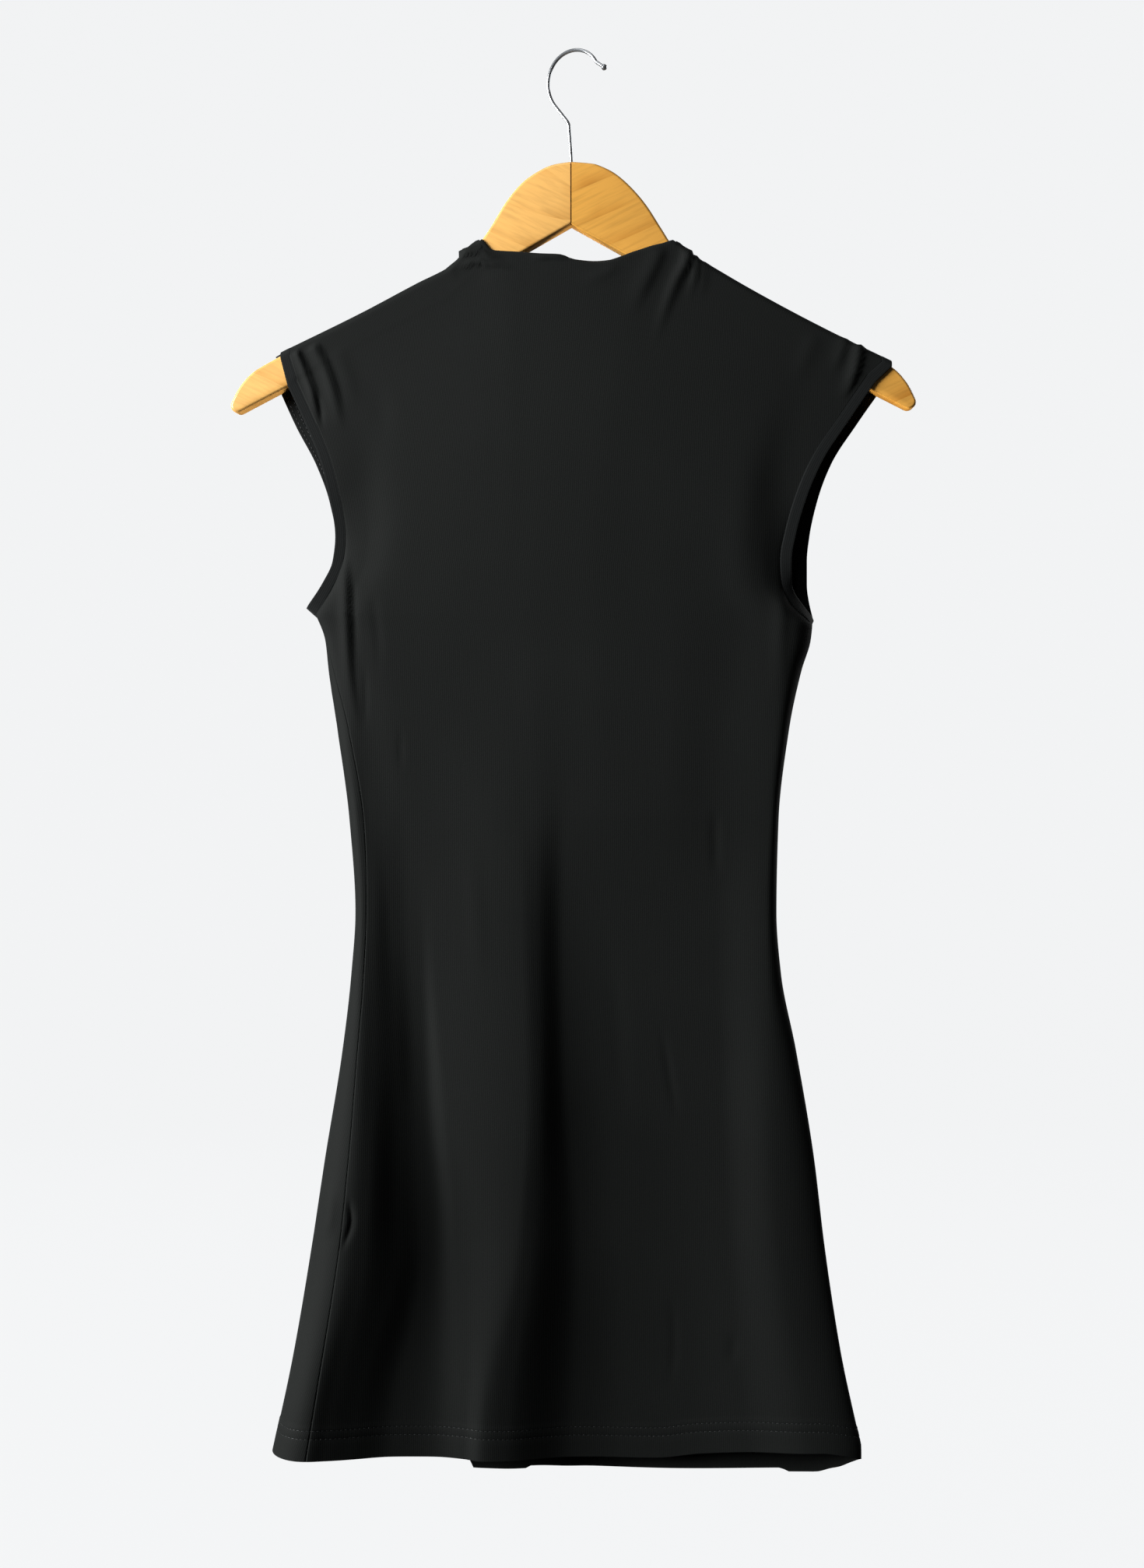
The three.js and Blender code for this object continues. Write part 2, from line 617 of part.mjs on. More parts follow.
function armholeBand(name, hand) {
  const columns = [0, BAND_WIDTH].map((across) => {
    const front = bandColumn(hand, 'front', across);
    const back = bandColumn(hand, 'back', across);
    return [...front, ...back.slice(1, -1).reverse()];
  });
  const grid = columns[0].map((_, r) => [columns[0][r], columns[1][r]]);
  return piece(name, clothWall({
    grid,
    wall: () => BAND_CLOTH,
    turned: hand === 'right',
    looped: true,
  }), BLACK_JERSEY);
}

// ---------------------------------------------------------------- the hanger

// The outline of one arm, x outwards from the mitre: up over the dome, along the shoulder, round the
// tip and back along the underside. The right half of the dome is a little fuller.
const armDomes = {
  left: [
    { x: 0, z: HANGER_TOP }, { x: 12.2, z: -74.3 }, { x: 22.3, z: -78.8 }, { x: 32.4, z: -86.0 },
    { x: 42.5, z: -98.0 }, { x: 52.6, z: -114.2 }, { x: 60, z: -124.5 }, { x: 67, z: -132.3 },
    { x: 80, z: -140.8 },
  ],
  right: [
    { x: 0, z: HANGER_TOP }, { x: 12, z: -73.4 }, { x: 18.2, z: -74.8 }, { x: 28.3, z: -79.8 },
    { x: 38.4, z: -88.4 }, { x: 48.6, z: -100.2 }, { x: 58.7, z: -115.8 }, { x: 66, z: -126.6 },
    { x: 80, z: -140.3 },
  ],
};
const armShoulder = [{ x: 100, z: -151.3 }, { x: 178, z: -188.8 }];
const armTip = [{ x: 194.8, z: -197.0 }, { x: 209.6, z: -205.4 }, { x: 218.6, z: -215.0 }];
const armUnderside = { x: 186, z: -215.3 };   // where the underside bends towards the tip
// The round end of the tip: its centre and radius, and where it begins and ends, in degrees.
const armNose = { x: 219.9, z: -227.2, radius: 4.6, from: 28, to: -112 };

function hangerArm(name, hand) {
  const outward = hand === 'left' ? -1 : 1;
  const curve = (points, count) => new THREE.SplineCurve(
    points.map((p) => new THREE.Vector2(p.x, p.z)),
  ).getPoints(count);
  const nose = spread(armNose.from, armNose.to, 7).map((angle) => ({
    x: armNose.x + armNose.radius * Math.cos(THREE.MathUtils.degToRad(angle)),
    z: armNose.z + armNose.radius * Math.sin(THREE.MathUtils.degToRad(angle)),
  }));
  const points = [
    new THREE.Vector2(-ARM_THICKNESS, HANGER_TOP),
    ...curve(armDomes[hand], 20),
    ...curve([...armShoulder, ...armTip, nose[0]], 18),
    ...nose.slice(1).map((p) => new THREE.Vector2(p.x, p.z)),
    new THREE.Vector2(armUnderside.x, armUnderside.z),
    new THREE.Vector2(0, HANGER_APEX),
    new THREE.Vector2(-ARM_THICKNESS, HANGER_APEX),
  ];
  const flat = new THREE.ExtrudeGeometry(new THREE.Shape(points), {
    depth: ARM_THICKNESS - 2 * ARM_ROUNDING,
    bevelThickness: ARM_ROUNDING,
    bevelSize: ARM_ROUNDING,
    bevelOffset: -ARM_ROUNDING,
    bevelSegments: 3,
  });
  flat.translate(0, 0, -(ARM_THICKNESS / 2 - ARM_ROUNDING));
  flat.rotateX(Math.PI / 2);
  if (outward < 0) flat.rotateZ(Math.PI);
  flat.rotateZ(outward * ARM_SWEEP[hand]);

  // The mitre and the blind hole for the hook's stem.
  const cut = new THREE.Vector3(60, 60, 240);
  const mitre = new THREE.BoxGeometry(cut.x, cut.y, cut.z);
  mitre.translate(outward * (MITRE_GAP / 2 - cut.x / 2), 0, HANGER_TOP);
  const bore = WIRE / 2 + STEM_CLEARANCE;
  const hole = new THREE.CylinderGeometry(bore, bore, (STEM_DEPTH + STEM_CLEARANCE) * 2, 24);
  hole.rotateX(Math.PI / 2);
  hole.translate(0, 0, HANGER_TOP);
  const solid = solidOf(flat).subtract(solidOf(mitre)).subtract(solidOf(hole));
  return piece(name, geometryOf(solid), HONEY_WOOD);
}

// The hook lies in its own plane, with the inner top of its loop over 0, 0. The wire is bent as on
// a bending jig: so far straight on, then round a former by so many degrees, to the left if positive.
const bends = [
  { straight: STEM_DEPTH + 2, radius: 50, turn: 4.5, steps: 4 },
  { straight: 18, radius: 8, turn: 33, steps: 8 },
  { straight: 13, radius: 24, turn: -65, steps: 18 },
  { straight: 0, radius: 17.5, turn: -62.5, steps: 20 },
  { straight: 0, radius: 16.5, turn: -62, steps: 20 },
  { straight: 0, radius: 3, turn: 25, steps: 4 },
  { straight: 6.2, radius: 0, turn: 0, steps: 0 },
];

function hook(name) {
  const at = new THREE.Vector2(-STEM_OFFSET, HANGER_TOP - STEM_DEPTH);
  const points = [at.clone()];
  const go = (distance, heading) => {
    at.add(new THREE.Vector2(Math.cos(heading), Math.sin(heading)).multiplyScalar(distance));
    points.push(at.clone());
  };
  let heading = Math.PI / 2;
  bends.forEach(({ straight, radius, turn, steps }) => {
    const pieces = Math.ceil(straight / 6);
    for (let k = 0; k < pieces; k += 1) go(straight / pieces, heading);
    const step = steps ? THREE.MathUtils.degToRad(turn) / steps : 0;
    for (let k = 0; k < steps; k += 1) {
      go(2 * radius * Math.sin(Math.abs(step) / 2), heading + step / 2);
      heading += step;
    }
  });

  const top = points.reduce((a, b) => (b.y > a.y ? b : a));
  const shift = new THREE.Vector2(0, WIRE / 2 - top.y);
  const path = new THREE.CatmullRomCurve3(points.map((p) => new THREE.Vector3(p.x, 0, p.y + shift.y)));
  const section = new THREE.Shape().absarc(0, 0, WIRE / 2, 0, Math.PI * 2);
  const wire = new THREE.ExtrudeGeometry(section, {
    steps: points.length + 6,
    curveSegments: 5,
    extrudePath: path,
  });
  const ball = new THREE.SphereGeometry(BALL_RADIUS, 14, 10);
  ball.translate(at.x, 0, at.y + shift.y);
  return piece(name, geometryOf(solidOf(wire).add(solidOf(ball))), BRIGHT_WIRE);
}

// ---------------------------------------------------------------- the whole object

const tunic = new THREE.Group();
tunic.add(
  ...panel('front'),
  ...panel('back'),
  armholeBand('armhole_band_left', 'left'),
  armholeBand('armhole_band_right', 'right'),
);

const hanger = new THREE.Group();
hanger.position.copy(STEM);
hanger.add(hangerArm('hanger_arm_left', 'left'), hangerArm('hanger_arm_right', 'right'));

const hookHolder = new THREE.Group();
hookHolder.rotation.z = LOOP_TURN;
hookHolder.position.set(
  STEM.x + STEM_OFFSET * Math.cos(LOOP_TURN),
  STEM.y + STEM_OFFSET * Math.sin(LOOP_TURN),
  0,
);
hookHolder.add(hook('hook'));

const object = new THREE.Group();
object.add(tunic, hanger, hookHolder);

export default object;
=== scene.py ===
# %% [markdown]
# # A black jersey tunic on a wooden hanger
# The tunic is sleeveless, with a funnel neck that grows out of the body, bound armholes and a skirt
# that flares into a few long soft folds. It hangs on a two-piece wooden hanger with a wire hook.
# This first cell brings in the construction as a fixed frame. Everything below is in metres and
# hangs from the same origin, the inner top of the hook's loop.

# %% Load the frame
import math

import bpy
import numpy as np
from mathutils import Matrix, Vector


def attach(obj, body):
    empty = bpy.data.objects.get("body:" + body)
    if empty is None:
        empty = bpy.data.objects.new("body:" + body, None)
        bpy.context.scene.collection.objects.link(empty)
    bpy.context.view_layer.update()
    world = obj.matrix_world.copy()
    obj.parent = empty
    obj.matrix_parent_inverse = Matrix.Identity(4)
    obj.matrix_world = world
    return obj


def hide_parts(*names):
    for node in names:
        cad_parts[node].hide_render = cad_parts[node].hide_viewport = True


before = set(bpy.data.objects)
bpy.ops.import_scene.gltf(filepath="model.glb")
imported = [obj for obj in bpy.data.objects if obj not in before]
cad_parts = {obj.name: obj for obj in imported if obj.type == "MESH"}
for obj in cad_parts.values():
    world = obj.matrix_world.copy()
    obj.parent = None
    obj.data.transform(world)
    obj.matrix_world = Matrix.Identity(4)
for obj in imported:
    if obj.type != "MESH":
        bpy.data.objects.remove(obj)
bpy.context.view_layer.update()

bpy.ops.object.select_all(action="DESELECT")

# %% [markdown]
# ## Camera
# A level camera stands 1.35 m in front of the garment, at the height of its middle, which keeps the
# shoulders and the hem in nearly true proportion.

# %% Camera
MM = 0.001
CAMERA_PLACE = (-1.6 * MM, -1350 * MM, -476 * MM)
LENS_MM = 47.7

bpy.ops.object.camera_add(location=CAMERA_PLACE, rotation=(math.radians(90), 0, 0))
camera = bpy.context.object
camera.data.lens = LENS_MM
camera.data.sensor_width = 36
bpy.context.scene.camera = camera
bpy.context.scene.view_settings.view_transform = "Standard"
print("camera", tuple(camera.location), "lens", camera.data.lens)

# %% [markdown]
# ## Floor and light
# Black cloth only shows its folds when the light rakes across them. So the main light is one broad
# panel far round to the left, a weaker one comes from above, and the air itself stays dim. Two weak
# panels behind light the back, and one below lights the undersides of the wood. The floor and the
# air behind are pale, and they don't brighten the cloth: a pale room that shines on it from all
# sides would flatten every fold.


# %% Helpers for colours, nodes and edit mode
def linear(hex_colour):
    """An sRGB hex colour such as "1d1f1e" as linear red, green, blue and alpha."""
    channels = [int(hex_colour[i:i + 2], 16) / 255 for i in (0, 2, 4)]
    return [c / 12.92 if c <= 0.04045 else ((c + 0.055) / 1.055) ** 2.4 for c in channels] + [1.0]


def add(tree, kind, inputs=None, **settings):
    """Adds a node with its settings. inputs holds a value or another node's output for each socket."""
    node = tree.nodes.new(kind)
    for name, value in settings.items():
        setattr(node, name, value)
    for name, value in (inputs or {}).items():
        socket = node.inputs[name]
        if isinstance(value, bpy.types.NodeSocket):
            tree.links.new(value, socket)
        else:
            socket.default_value = value
    return node


def new_material(name, values):
    """A material whose principled shader has these constant values."""
    material = bpy.data.materials.new(name)
    material.use_nodes = True
    shader = material.node_tree.nodes["Principled BSDF"]
    for socket, value in values.items():
        shader.inputs[socket].default_value = value
    return material


def edit_all():
    """Goes into edit mode on the active piece, with everything selected."""
    bpy.ops.object.mode_set(mode="EDIT")
    bpy.ops.mesh.select_all(action="SELECT")


print("cloth black in linear light", [round(c, 4) for c in linear("1d1f1e")])

# %% Pale air and floor
AIR_SEEN = "fafbfc"
AIR_LIGHT = 0.02
FLOOR_Z = -1.25

world = bpy.data.worlds.new("pale air")
bpy.context.scene.world = world
world.use_nodes = True
air = world.node_tree
air.nodes.clear()
seen = add(air, "ShaderNodeBackground", {"Color": linear(AIR_SEEN), "Strength": 1.0})
shining = add(air, "ShaderNodeBackground", {"Color": linear("ffffff"), "Strength": AIR_LIGHT})
path = add(air, "ShaderNodeLightPath")
seen_directly = path.outputs["Is Camera Ray"]
both = add(air, "ShaderNodeMixShader", {0: seen_directly, 1: shining.outputs[0], 2: seen.outputs[0]})
add(air, "ShaderNodeOutputWorld", {"Surface": both.outputs[0]})

# A round floor whose edge curves up, far away, so that no horizon shows behind the garment.
SWEEP = [(0.001, 0), (3.6, 0), (4.2, 0.08), (4.7, 0.3), (5.1, 0.7), (5.4, 1.3), (5.5, 2.0), (5.5, 6.0)]
start = (0, 0, FLOOR_Z)
bpy.ops.mesh.primitive_circle_add(vertices=96, radius=SWEEP[0][0], fill_type="NOTHING", location=start)
floor = bpy.context.object
floor.name = "floor"
bpy.ops.object.transform_apply(location=True)
edit_all()
for (radius, up), (wider, higher) in zip(SWEEP, SWEEP[1:]):
    bpy.ops.mesh.extrude_region_move(TRANSFORM_OT_translate={"value": (0, 0, higher - up)})
    bpy.ops.transform.resize(value=(wider / radius, wider / radius, 1), center_override=(0, 0, 0))
bpy.ops.mesh.select_all(action="SELECT")
bpy.ops.mesh.normals_make_consistent(inside=True)
bpy.ops.object.mode_set(mode="OBJECT")
bpy.ops.object.shade_smooth()
floor.visible_diffuse = False
floor.visible_glossy = False
floor.visible_shadow = False
# The paint shines a little by itself, which keeps the pale floor even.
paint = new_material("matt white studio paint", {
    "Base Color": linear("2a2b2c"), "Roughness": 0.9, "Specular IOR Level": 0.0,
    "Emission Color": linear(AIR_SEEN), "Emission Strength": 0.92,
})
floor.data.materials.append(paint)
print("floor at", FLOOR_Z)


# %% Lights
MIDDLE = np.array([0.0, 0.0, -0.47])


def panel_light(name, round_left, up, distance, size, watts, colour="ffffff", glossy=True):
    """A square light panel that faces the garment. round_left is in degrees from straight in front."""
    a, e = math.radians(round_left), math.radians(up)
    way = np.array([-math.sin(a) * math.cos(e), -math.cos(a) * math.cos(e), math.sin(e)])
    light = bpy.data.objects.new(name, bpy.data.lights.new(name, "AREA"))
    bpy.context.collection.objects.link(light)
    light.data.shape = "SQUARE"
    light.data.size = size
    light.data.energy = watts
    light.data.color = linear(colour)[:3]
    light.location = MIDDLE + way * distance
    light.rotation_mode = "QUATERNION"
    light.rotation_quaternion = Vector(way).to_track_quat("Z", "Y")
    light.visible_camera = False
    light.visible_glossy = glossy
    print(name, [round(v, 2) for v in light.location], watts, "W")


panel_light("window on the left", 67, 14, 3.6, 1.8, 296)
panel_light("soft light above", 25, 62, 2.6, 1.2, 10)
panel_light("light behind left", 160, 20, 3.0, 1.6, 24)
panel_light("light behind right", 235, 20, 3.0, 1.6, 30)
panel_light("light from below", 180, -50, 1.8, 0.6, 45, "fff4e6", glossy=False)

# %% [markdown]
# ## The cut of the cloth
# The body is a ring of cloth at each height: it turns round a fold at each side and runs in long
# soft waves between them. Tables give the side folds and the waves at a few heights, and a smooth
# curve fills the heights between. Millimetres are easier to think in here, so the points only
# become metres when a mesh is made.

# %% Smooth curves


def smooth(keys, values, at, level_ends=False):
    """A smooth curve through values at keys, with no overshoot at a peak."""
    keys = np.asarray(keys, float)
    values = np.asarray(values, float)
    if keys[0] > keys[-1]:
        keys = keys[::-1]
        values = values[::-1]
    at = np.clip(np.asarray(at, float), keys[0], keys[-1])
    span = np.diff(keys)
    slope = np.diff(values) / span
    tangent = np.empty_like(values)
    tangent[0] = 0 if level_ends else slope[0]
    tangent[-1] = 0 if level_ends else slope[-1]
    product = slope[:-1] * slope[1:]
    total = slope[:-1] + slope[1:]
    tangent[1:-1] = np.where(product > 0, 2 * product / np.where(product > 0, total, 1), 0)
    i = np.clip(np.searchsorted(keys, at, side="right") - 1, 0, len(span) - 1)
    t = (at - keys[i]) / span[i]
    rise = (values[i + 1] - values[i]) * t * t * (3 - 2 * t)
    return values[i] + rise + span[i] * (tangent[i] * t * (1 - t) ** 2 - tangent[i + 1] * t * t * (1 - t))


def mix(a, b, t):
    return a + (b - a) * t


print("halfway up a smooth step", float(smooth([0, 1, 2], [0, 0, 1], 1.5)))

# %% Side folds and long folds
CLOTH = 1.0          # thickness of the jersey wall
TURNED_CLOTH = 1.7   # where the hem is turned up

# How far out the side folds lie, their depth, and how far the left side seam has rolled in.
SIDES_AT = [-366, -382, -402, -440, -500, -560, -600, -650, -720, -780, -850, -912]
SIDES = {
    "left": [-168.5, -163, -160.8, -155, -146.8, -142.8, -145.4, -151.2, -162.5, -171.6, -183.5, -196.7],
    "left depth": [14, 13.5, 13, 12, 11, 10, 9, 9, 9, 9, 8, 7],
    "right": [155.4, 153.9, 147.9, 139.8, 132.7, 131.4, 134.5, 144.5, 156.5, 164, 175, 188.5],
    "right depth": [10, 9.5, 9, 8, 6, 6, 7, 9, 12, 15, 18, 20],
    "seam": [0, 1, 4, 8, 10, 8, 9, 11, 17, 20, 21, 24],
}

FOLDS_AT = [-372, -457, -560, -675, -776, -877, -912]
FRONT_FOLDS = {
    "rolled side": ([-153, -144, -137, -140, -148, -169, -174], [5, 1.5, -3, -9, -17, -18.5, -18]),
    "side wall": ([-148, -138, -130, -131, -135, -157, -162], [4.3, 2, -2.5, -7, -14.5, -15, -14.5]),
    "valley wall": ([-135, -128, -120, -115, -115, -140, -145], [2.6, 1.5, -0.5, -0.7, -5, -8.5, -8.5]),
    "valley": ([-120, -118, -108, -104, -99, -116, -119], [1.6, 0.5, 0.5, 2.8, 2.2, 0.5, 0.5]),
    "bottom of the valley": ([-105, -105, -100, -96, -87, -90, -91], [0.8, 0, 0.3, 3.6, 4.6, 4, 4]),
    "left brow": ([-92, -92, -92, -85, -76, -71, -71], [0.1, -0.5, -0.5, -0.2, 2.4, 0.2, 0.2]),
    "main ridge": ([-40, -38, -34, -31, -38, -58, -61], [-2.3, -3.2, -5.2, -6, -2.7, -3.5, -3.5]),
    "head of the drop": ([-25, -25, -24, -22.5, -28, -43, -46], [-3, -3.8, -4, -4.5, -1.1, -1.2, -1.2]),
    "foot of the drop": ([-5, -5, -8, -6.5, 2, 0, -2], [-3.5, -4.2, 0.6, 3.2, 10.5, 15, 15]),
    "flat": ([20, 20, 22, 22, 30, 31, 31], [-4, -4.8, 1.5, 6.5, 13.5, 19, 19]),
    "end of the flat": ([60, 60, 60, 65, 70, 75, 78], [-4, -4.8, 1.7, 7.3, 14.6, 20, 20]),
    "right valley": ([105, 96, 92, 96, 101, 110, 115], [-3.2, -3.5, 1.5, 7, 13.5, 18.5, 18.5]),
    "right ridge": ([139, 131, 125, 127, 133, 149, 154], [-4.8, -4.0, -1, 2.5, 8, 13, 13]),
}
BACK_FOLDS = {
    "left ridge": ([-140, -135, -122, -128, -140, -158, -164], [22, 18, 17, 19, 23, 24, 24]),
    "left trough": ([-75, -70, -60, -58, -52, -48, -47], [17, 15, 13, 14, 17, 20, 20]),
    "middle ridge": ([-10, -5, 0, 4, 10, 14, 15], [10.5, 12, 14, 19.5, 26.5, 31, 31]),
    "right trough": ([55, 55, 58, 62, 68, 74, 76], [11, 12, 13.5, 17.5, 25, 30, 30]),
    "right ridge": ([125, 112, 105, 115, 132, 148, 155], [14, 13, 13.5, 18, 26, 32, 32]),
}


FOLD_STEPS = 25         # points round a side fold
WAVE_STEPS = 160        # points across the waves between the side folds
TOO_CLOSE = 0.05        # nearer than this, two points count as one


def ring_side(folds, z):
    """One side of the ring at a height, from the left fold to the right fold, as x and y."""
    at = {name: float(smooth(SIDES_AT, column, z)) for name, column in SIDES.items()}
    knot_x = np.array([float(smooth(FOLDS_AT, x, z)) for x, _ in folds.values()])
    knot_y = np.array([float(smooth(FOLDS_AT, y, z)) for _, y in folds.values()])
    turn = np.linspace(0, math.pi / 2, FOLD_STEPS)
    ends = []
    for hand, k in (("left", 0), ("right", -1)):
        x = mix(knot_x[k], at[hand], np.cos(turn))
        y = mix(at[hand + " depth"], knot_y[k], np.sin(turn))
        ends.append(np.stack([x, y], 1))
    x = np.linspace(knot_x[0], knot_x[-1], WAVE_STEPS)
    middle = np.stack([x, smooth(knot_x, knot_y, x, level_ends=True)], 1)
    return np.concatenate([ends[0], middle[1:-1], ends[1][::-1]])


def panel_line(face, z):
    """The part of the ring that a panel covers. The front is parted at the rolled left seam."""
    front = ring_side(FRONT_FOLDS, z)
    seam_x = front[0, 0] + float(smooth(SIDES_AT, SIDES["seam"], z))
    cut = max(1, int(np.argmax(front[:, 0] > seam_x)))
    share = (seam_x - front[cut - 1, 0]) / (front[cut, 0] - front[cut - 1, 0])
    seam = mix(front[cut - 1], front[cut], share)[None]
    if face == "front":
        return np.concatenate([seam, front[cut:]])
    rolled = front[:cut][::-1]
    if np.hypot(*(seam[0] - rolled[0])) < TOO_CLOSE:
        rolled = rolled[1:]
    return np.concatenate([seam, rolled, ring_side(BACK_FOLDS, z)[1:]])


def along(line, shares):
    """Points at shares of a line's length."""
    steps = np.hypot(*np.diff(line, axis=0).T)
    length = np.concatenate([[0], np.cumsum(steps)])
    places = np.asarray(shares) * length[-1]
    return np.stack([np.interp(places, length, column) for column in line.T], 1)


print("front width at the waist", round(float(np.ptp(panel_line("front", -560)[:, 0])), 1), "mm")

# %% [markdown]
# ## The yoke
# Above the underarms each panel is one smooth patch that hangs from the hanger: it runs from the
# ring under the arms up to the wood, between the two armholes. The hanger's arms bend back a
# little, so the cloth bends back with them.

# %% Where the hanger carries the cloth
STEM = (-2.1, 1.8)
ARM_THICKNESS = 12
ARM_SWEEP = {"left": math.radians(5), "right": math.radians(1.2)}
OVER_FRONT = ARM_THICKNESS / 2 + 0.5 + CLOTH / 2
OVER_ROUND = 4.0
SIDE = {"front": -1, "back": 1}
NECK_SPAN = (-38, 34)
BESIDE_NECK = (-66, 62)
ARM_REACH = 240


def middle_y(x):
    """Depth of the middle of the hanger's arms."""
    x = np.asarray(x, float)
    sweep = np.where(x < STEM[0], math.tan(ARM_SWEEP["left"]), math.tan(ARM_SWEEP["right"]))
    return STEM[1] + sweep * np.abs(x - STEM[0])


def face_y(face, x):
    """Depth of the cloth on a face of the hanger. At the neck it runs straight across."""
    knots = np.array([-ARM_REACH, BESIDE_NECK[0], *NECK_SPAN, BESIDE_NECK[1], ARM_REACH])
    return smooth(knots, middle_y(knots), x) + SIDE[face] * OVER_FRONT


# The outer edge of each armhole, from under the arm up to the hanger.
ARMHOLE_AT = [-345, -330, -314, -290, -266, -240, -215]
ARMHOLE = {
    ("left", "front"): [-165.3, -158.2, -156.4, -159.8, -165.7, -176.3, -188.0],
    ("left", "back"): [-166.0, -159.0, -157.5, -161.7, -170.3, -184.0, -195.5],
    ("right", "front"): [141.2, 141.2, 144.0, 151.0, 161.4, 178.4, 195.5],
    ("right", "back"): [152.6, 152.6, 154.2, 159.5, 168.6, 185.4, 203.0],
}
# Where the side seam meets the armhole, and which way the band's width points there.
UNDERARM = {
    "left": {"x": -175.9, "y": 14, "z": -360.5, "inward": (0.74, -0.67)},
    "right": {"x": 156.3, "y": 10, "z": -369, "inward": (-0.12, -0.99)},
}
BAND_WIDTH = 7.5
BAND_PROUD = 0.05
UNDERARM_TURN = 0.25
ARM_SLOPE = math.radians(26)
# The front stands a little forward beside each armhole: how far, and where up the armhole.
FORWARD = 2.6
FORWARD_AT = {"left": (0.6, 0.22), "right": (0.24, 0.16)}
# The foot of the right band has turned away to the right.
FOOT_WAY = np.array([-0.3, -0.8, -0.5])
FOOT_REACH = 0.13


def armhole_edge(hand, face, t, shaped=True):
    """The outer edge of an armhole, from the side seam (t = 0) to the underside of the arm (t = 1).

    shaped adds what the front does beside it.
    """
    under = UNDERARM[hand]
    t = np.asarray(t, float)
    z = mix(under["z"], ARMHOLE_AT[-1], t)
    x = smooth([under["z"], *ARMHOLE_AT], [under["x"], *ARMHOLE[hand, face]], z)
    sheltered = (1 - t) ** 2
    gap = (OVER_FRONT + BAND_PROUD) * np.sqrt(np.maximum(0, 1 - sheltered * sheltered))
    y = mix(middle_y(x), under["y"], sheltered) + SIDE[face] * gap
    if shaped and face == "front":
        at, reach = FORWARD_AT[hand]
        y = y - FORWARD * np.exp(-((t - at) / reach) ** 2)
    return np.stack([x, y, z], -1)


def band_way(hand, face, t, shaped=True):
    """The way across a band, from its outer edge towards the body."""
    near = 0.02
    ahead = armhole_edge(hand, face, np.minimum(1, t + near))
    course = ahead - armhole_edge(hand, face, np.maximum(0, t - near))
    course /= np.linalg.norm(course, axis=-1, keepdims=True)
    inward = 1 if hand == "left" else -1
    across = np.stack([course[:, 2] * inward, 0 * t, -course[:, 0] * inward], -1)
    across /= np.linalg.norm(across, axis=-1, keepdims=True)
    under = np.array([UNDERARM[hand]["inward"][0], 0, UNDERARM[hand]["inward"][1]])
    across = mix(across, under, np.maximum(0, 1 - t / UNDERARM_TURN)[:, None])
    if shaped and (hand, face) == ("right", "front"):
        across = mix(across, FOOT_WAY, np.exp(-(t / FOOT_REACH) ** 2)[:, None])
    return across / np.linalg.norm(across, axis=-1, keepdims=True)


def over_the_arm(count):
    """How far back and up from the arm's front edge the cloth turns over its top, in shares."""
    turn = np.linspace(0, math.pi / 2, count)[1:]
    back = OVER_ROUND * (1 - np.cos(turn))
    up = OVER_ROUND * np.sin(turn)
    flat = np.linspace(OVER_ROUND, OVER_FRONT, 3)[1:]
    return np.concatenate([back, flat]) / OVER_FRONT, np.concatenate([up, 0 * flat + OVER_ROUND])


# Where the inner edge of each band crosses the top of the wood. On the left the back lies further out.
BAND_TOP = {
    ("left", "front"): (-185.5, -189.0), ("left", "back"): (-189.7, -191.0),
    ("right", "front"): (199.0, -197.0), ("right", "back"): (199.5, -197.2),
}

# The top line: s runs from the left armhole (0) to the right one (1).
TOP_AT = [0, 0.13, 0.22, 0.27, 0.29, 0.308, 0.325, 0.35, 0.39, 0.44, 0.51, 0.59, 0.63, 0.655, 0.675, 0.7,
          0.77, 0.85, 0.92, 1]
TOP = {
    "x": [-189.5, -139, -102.5, -82, -76.5, -70, -62, -53, -35, -14, 13.6, 42, 57, 66, 74.5, 85,
          111.5, 141, 168.5, 201.1],
    "front": [-190.9, -167.3, -148.8, -138.8, -134.1, -126.7, -121.3, -129.3, -130.8, -133, -138, -130,
              -125.6, -123.2, -131.3, -137.1, -152.4, -168.4, -182.4, -198],
    "back": [-190.9, -167.3, -148.8, -138.8, -134.1, -126.7, -121.3, -129, -129.8, -131, -134.2, -129.3,
             -125.6, -123.2, -131.3, -137.1, -152.4, -168.4, -182.4, -198],
    "low x": [-182, -136, -101, -81, -76, -70, -63, -53.5, -35, -14, 13.6, 42, 57.5, 66.5, 74, 84,
              109.5, 138, 162, 189.4],
    "low": [-211.0, -187.5, -170, -160, -155, -150, -146, -147, -148, -150, -153, -148, -146, -148, -153,
            -158.5, -173, -188.5, -200.5, -210.6],
}
NECK_LEFT = 0.325
NECK_RIGHT = 0.655

# The hem, as s and height pairs. The back hangs lower, and its middle has caught into a flat tab.
HEM = {
    "front": [(0, -910.5), (0.06, -911.8), (0.15, -913), (0.21, -914), (0.28, -914.6), (0.38, -916.3),
              (0.49, -918), (0.635, -920), (0.71, -917.4), (0.815, -915.8), (0.926, -915.4), (0.962, -917.3),
              (1, -921)],
    "back": [(0, -910.5), (0.12, -910), (0.24, -912), (0.36, -914.5), (0.392, -917), (0.404, -926.6),
             (0.484, -927.4), (0.489, -925.9), (0.558, -928.3), (0.72, -930.2), (0.872, -930.4),
             (0.885, -933), (0.925, -933.1), (0.95, -930.3), (0.962, -929), (0.98, -925.2), (1, -921)],
}
print("cloth over the wood at the left tip", face_y("front", -188).round(1))

# %% Band columns
YOKE_ROWS = 70
ARM_ROWS = 10
yoke_steps = np.linspace(0, 1, YOKE_ROWS + 1)
OVER_BACK, OVER_UP = over_the_arm(7)


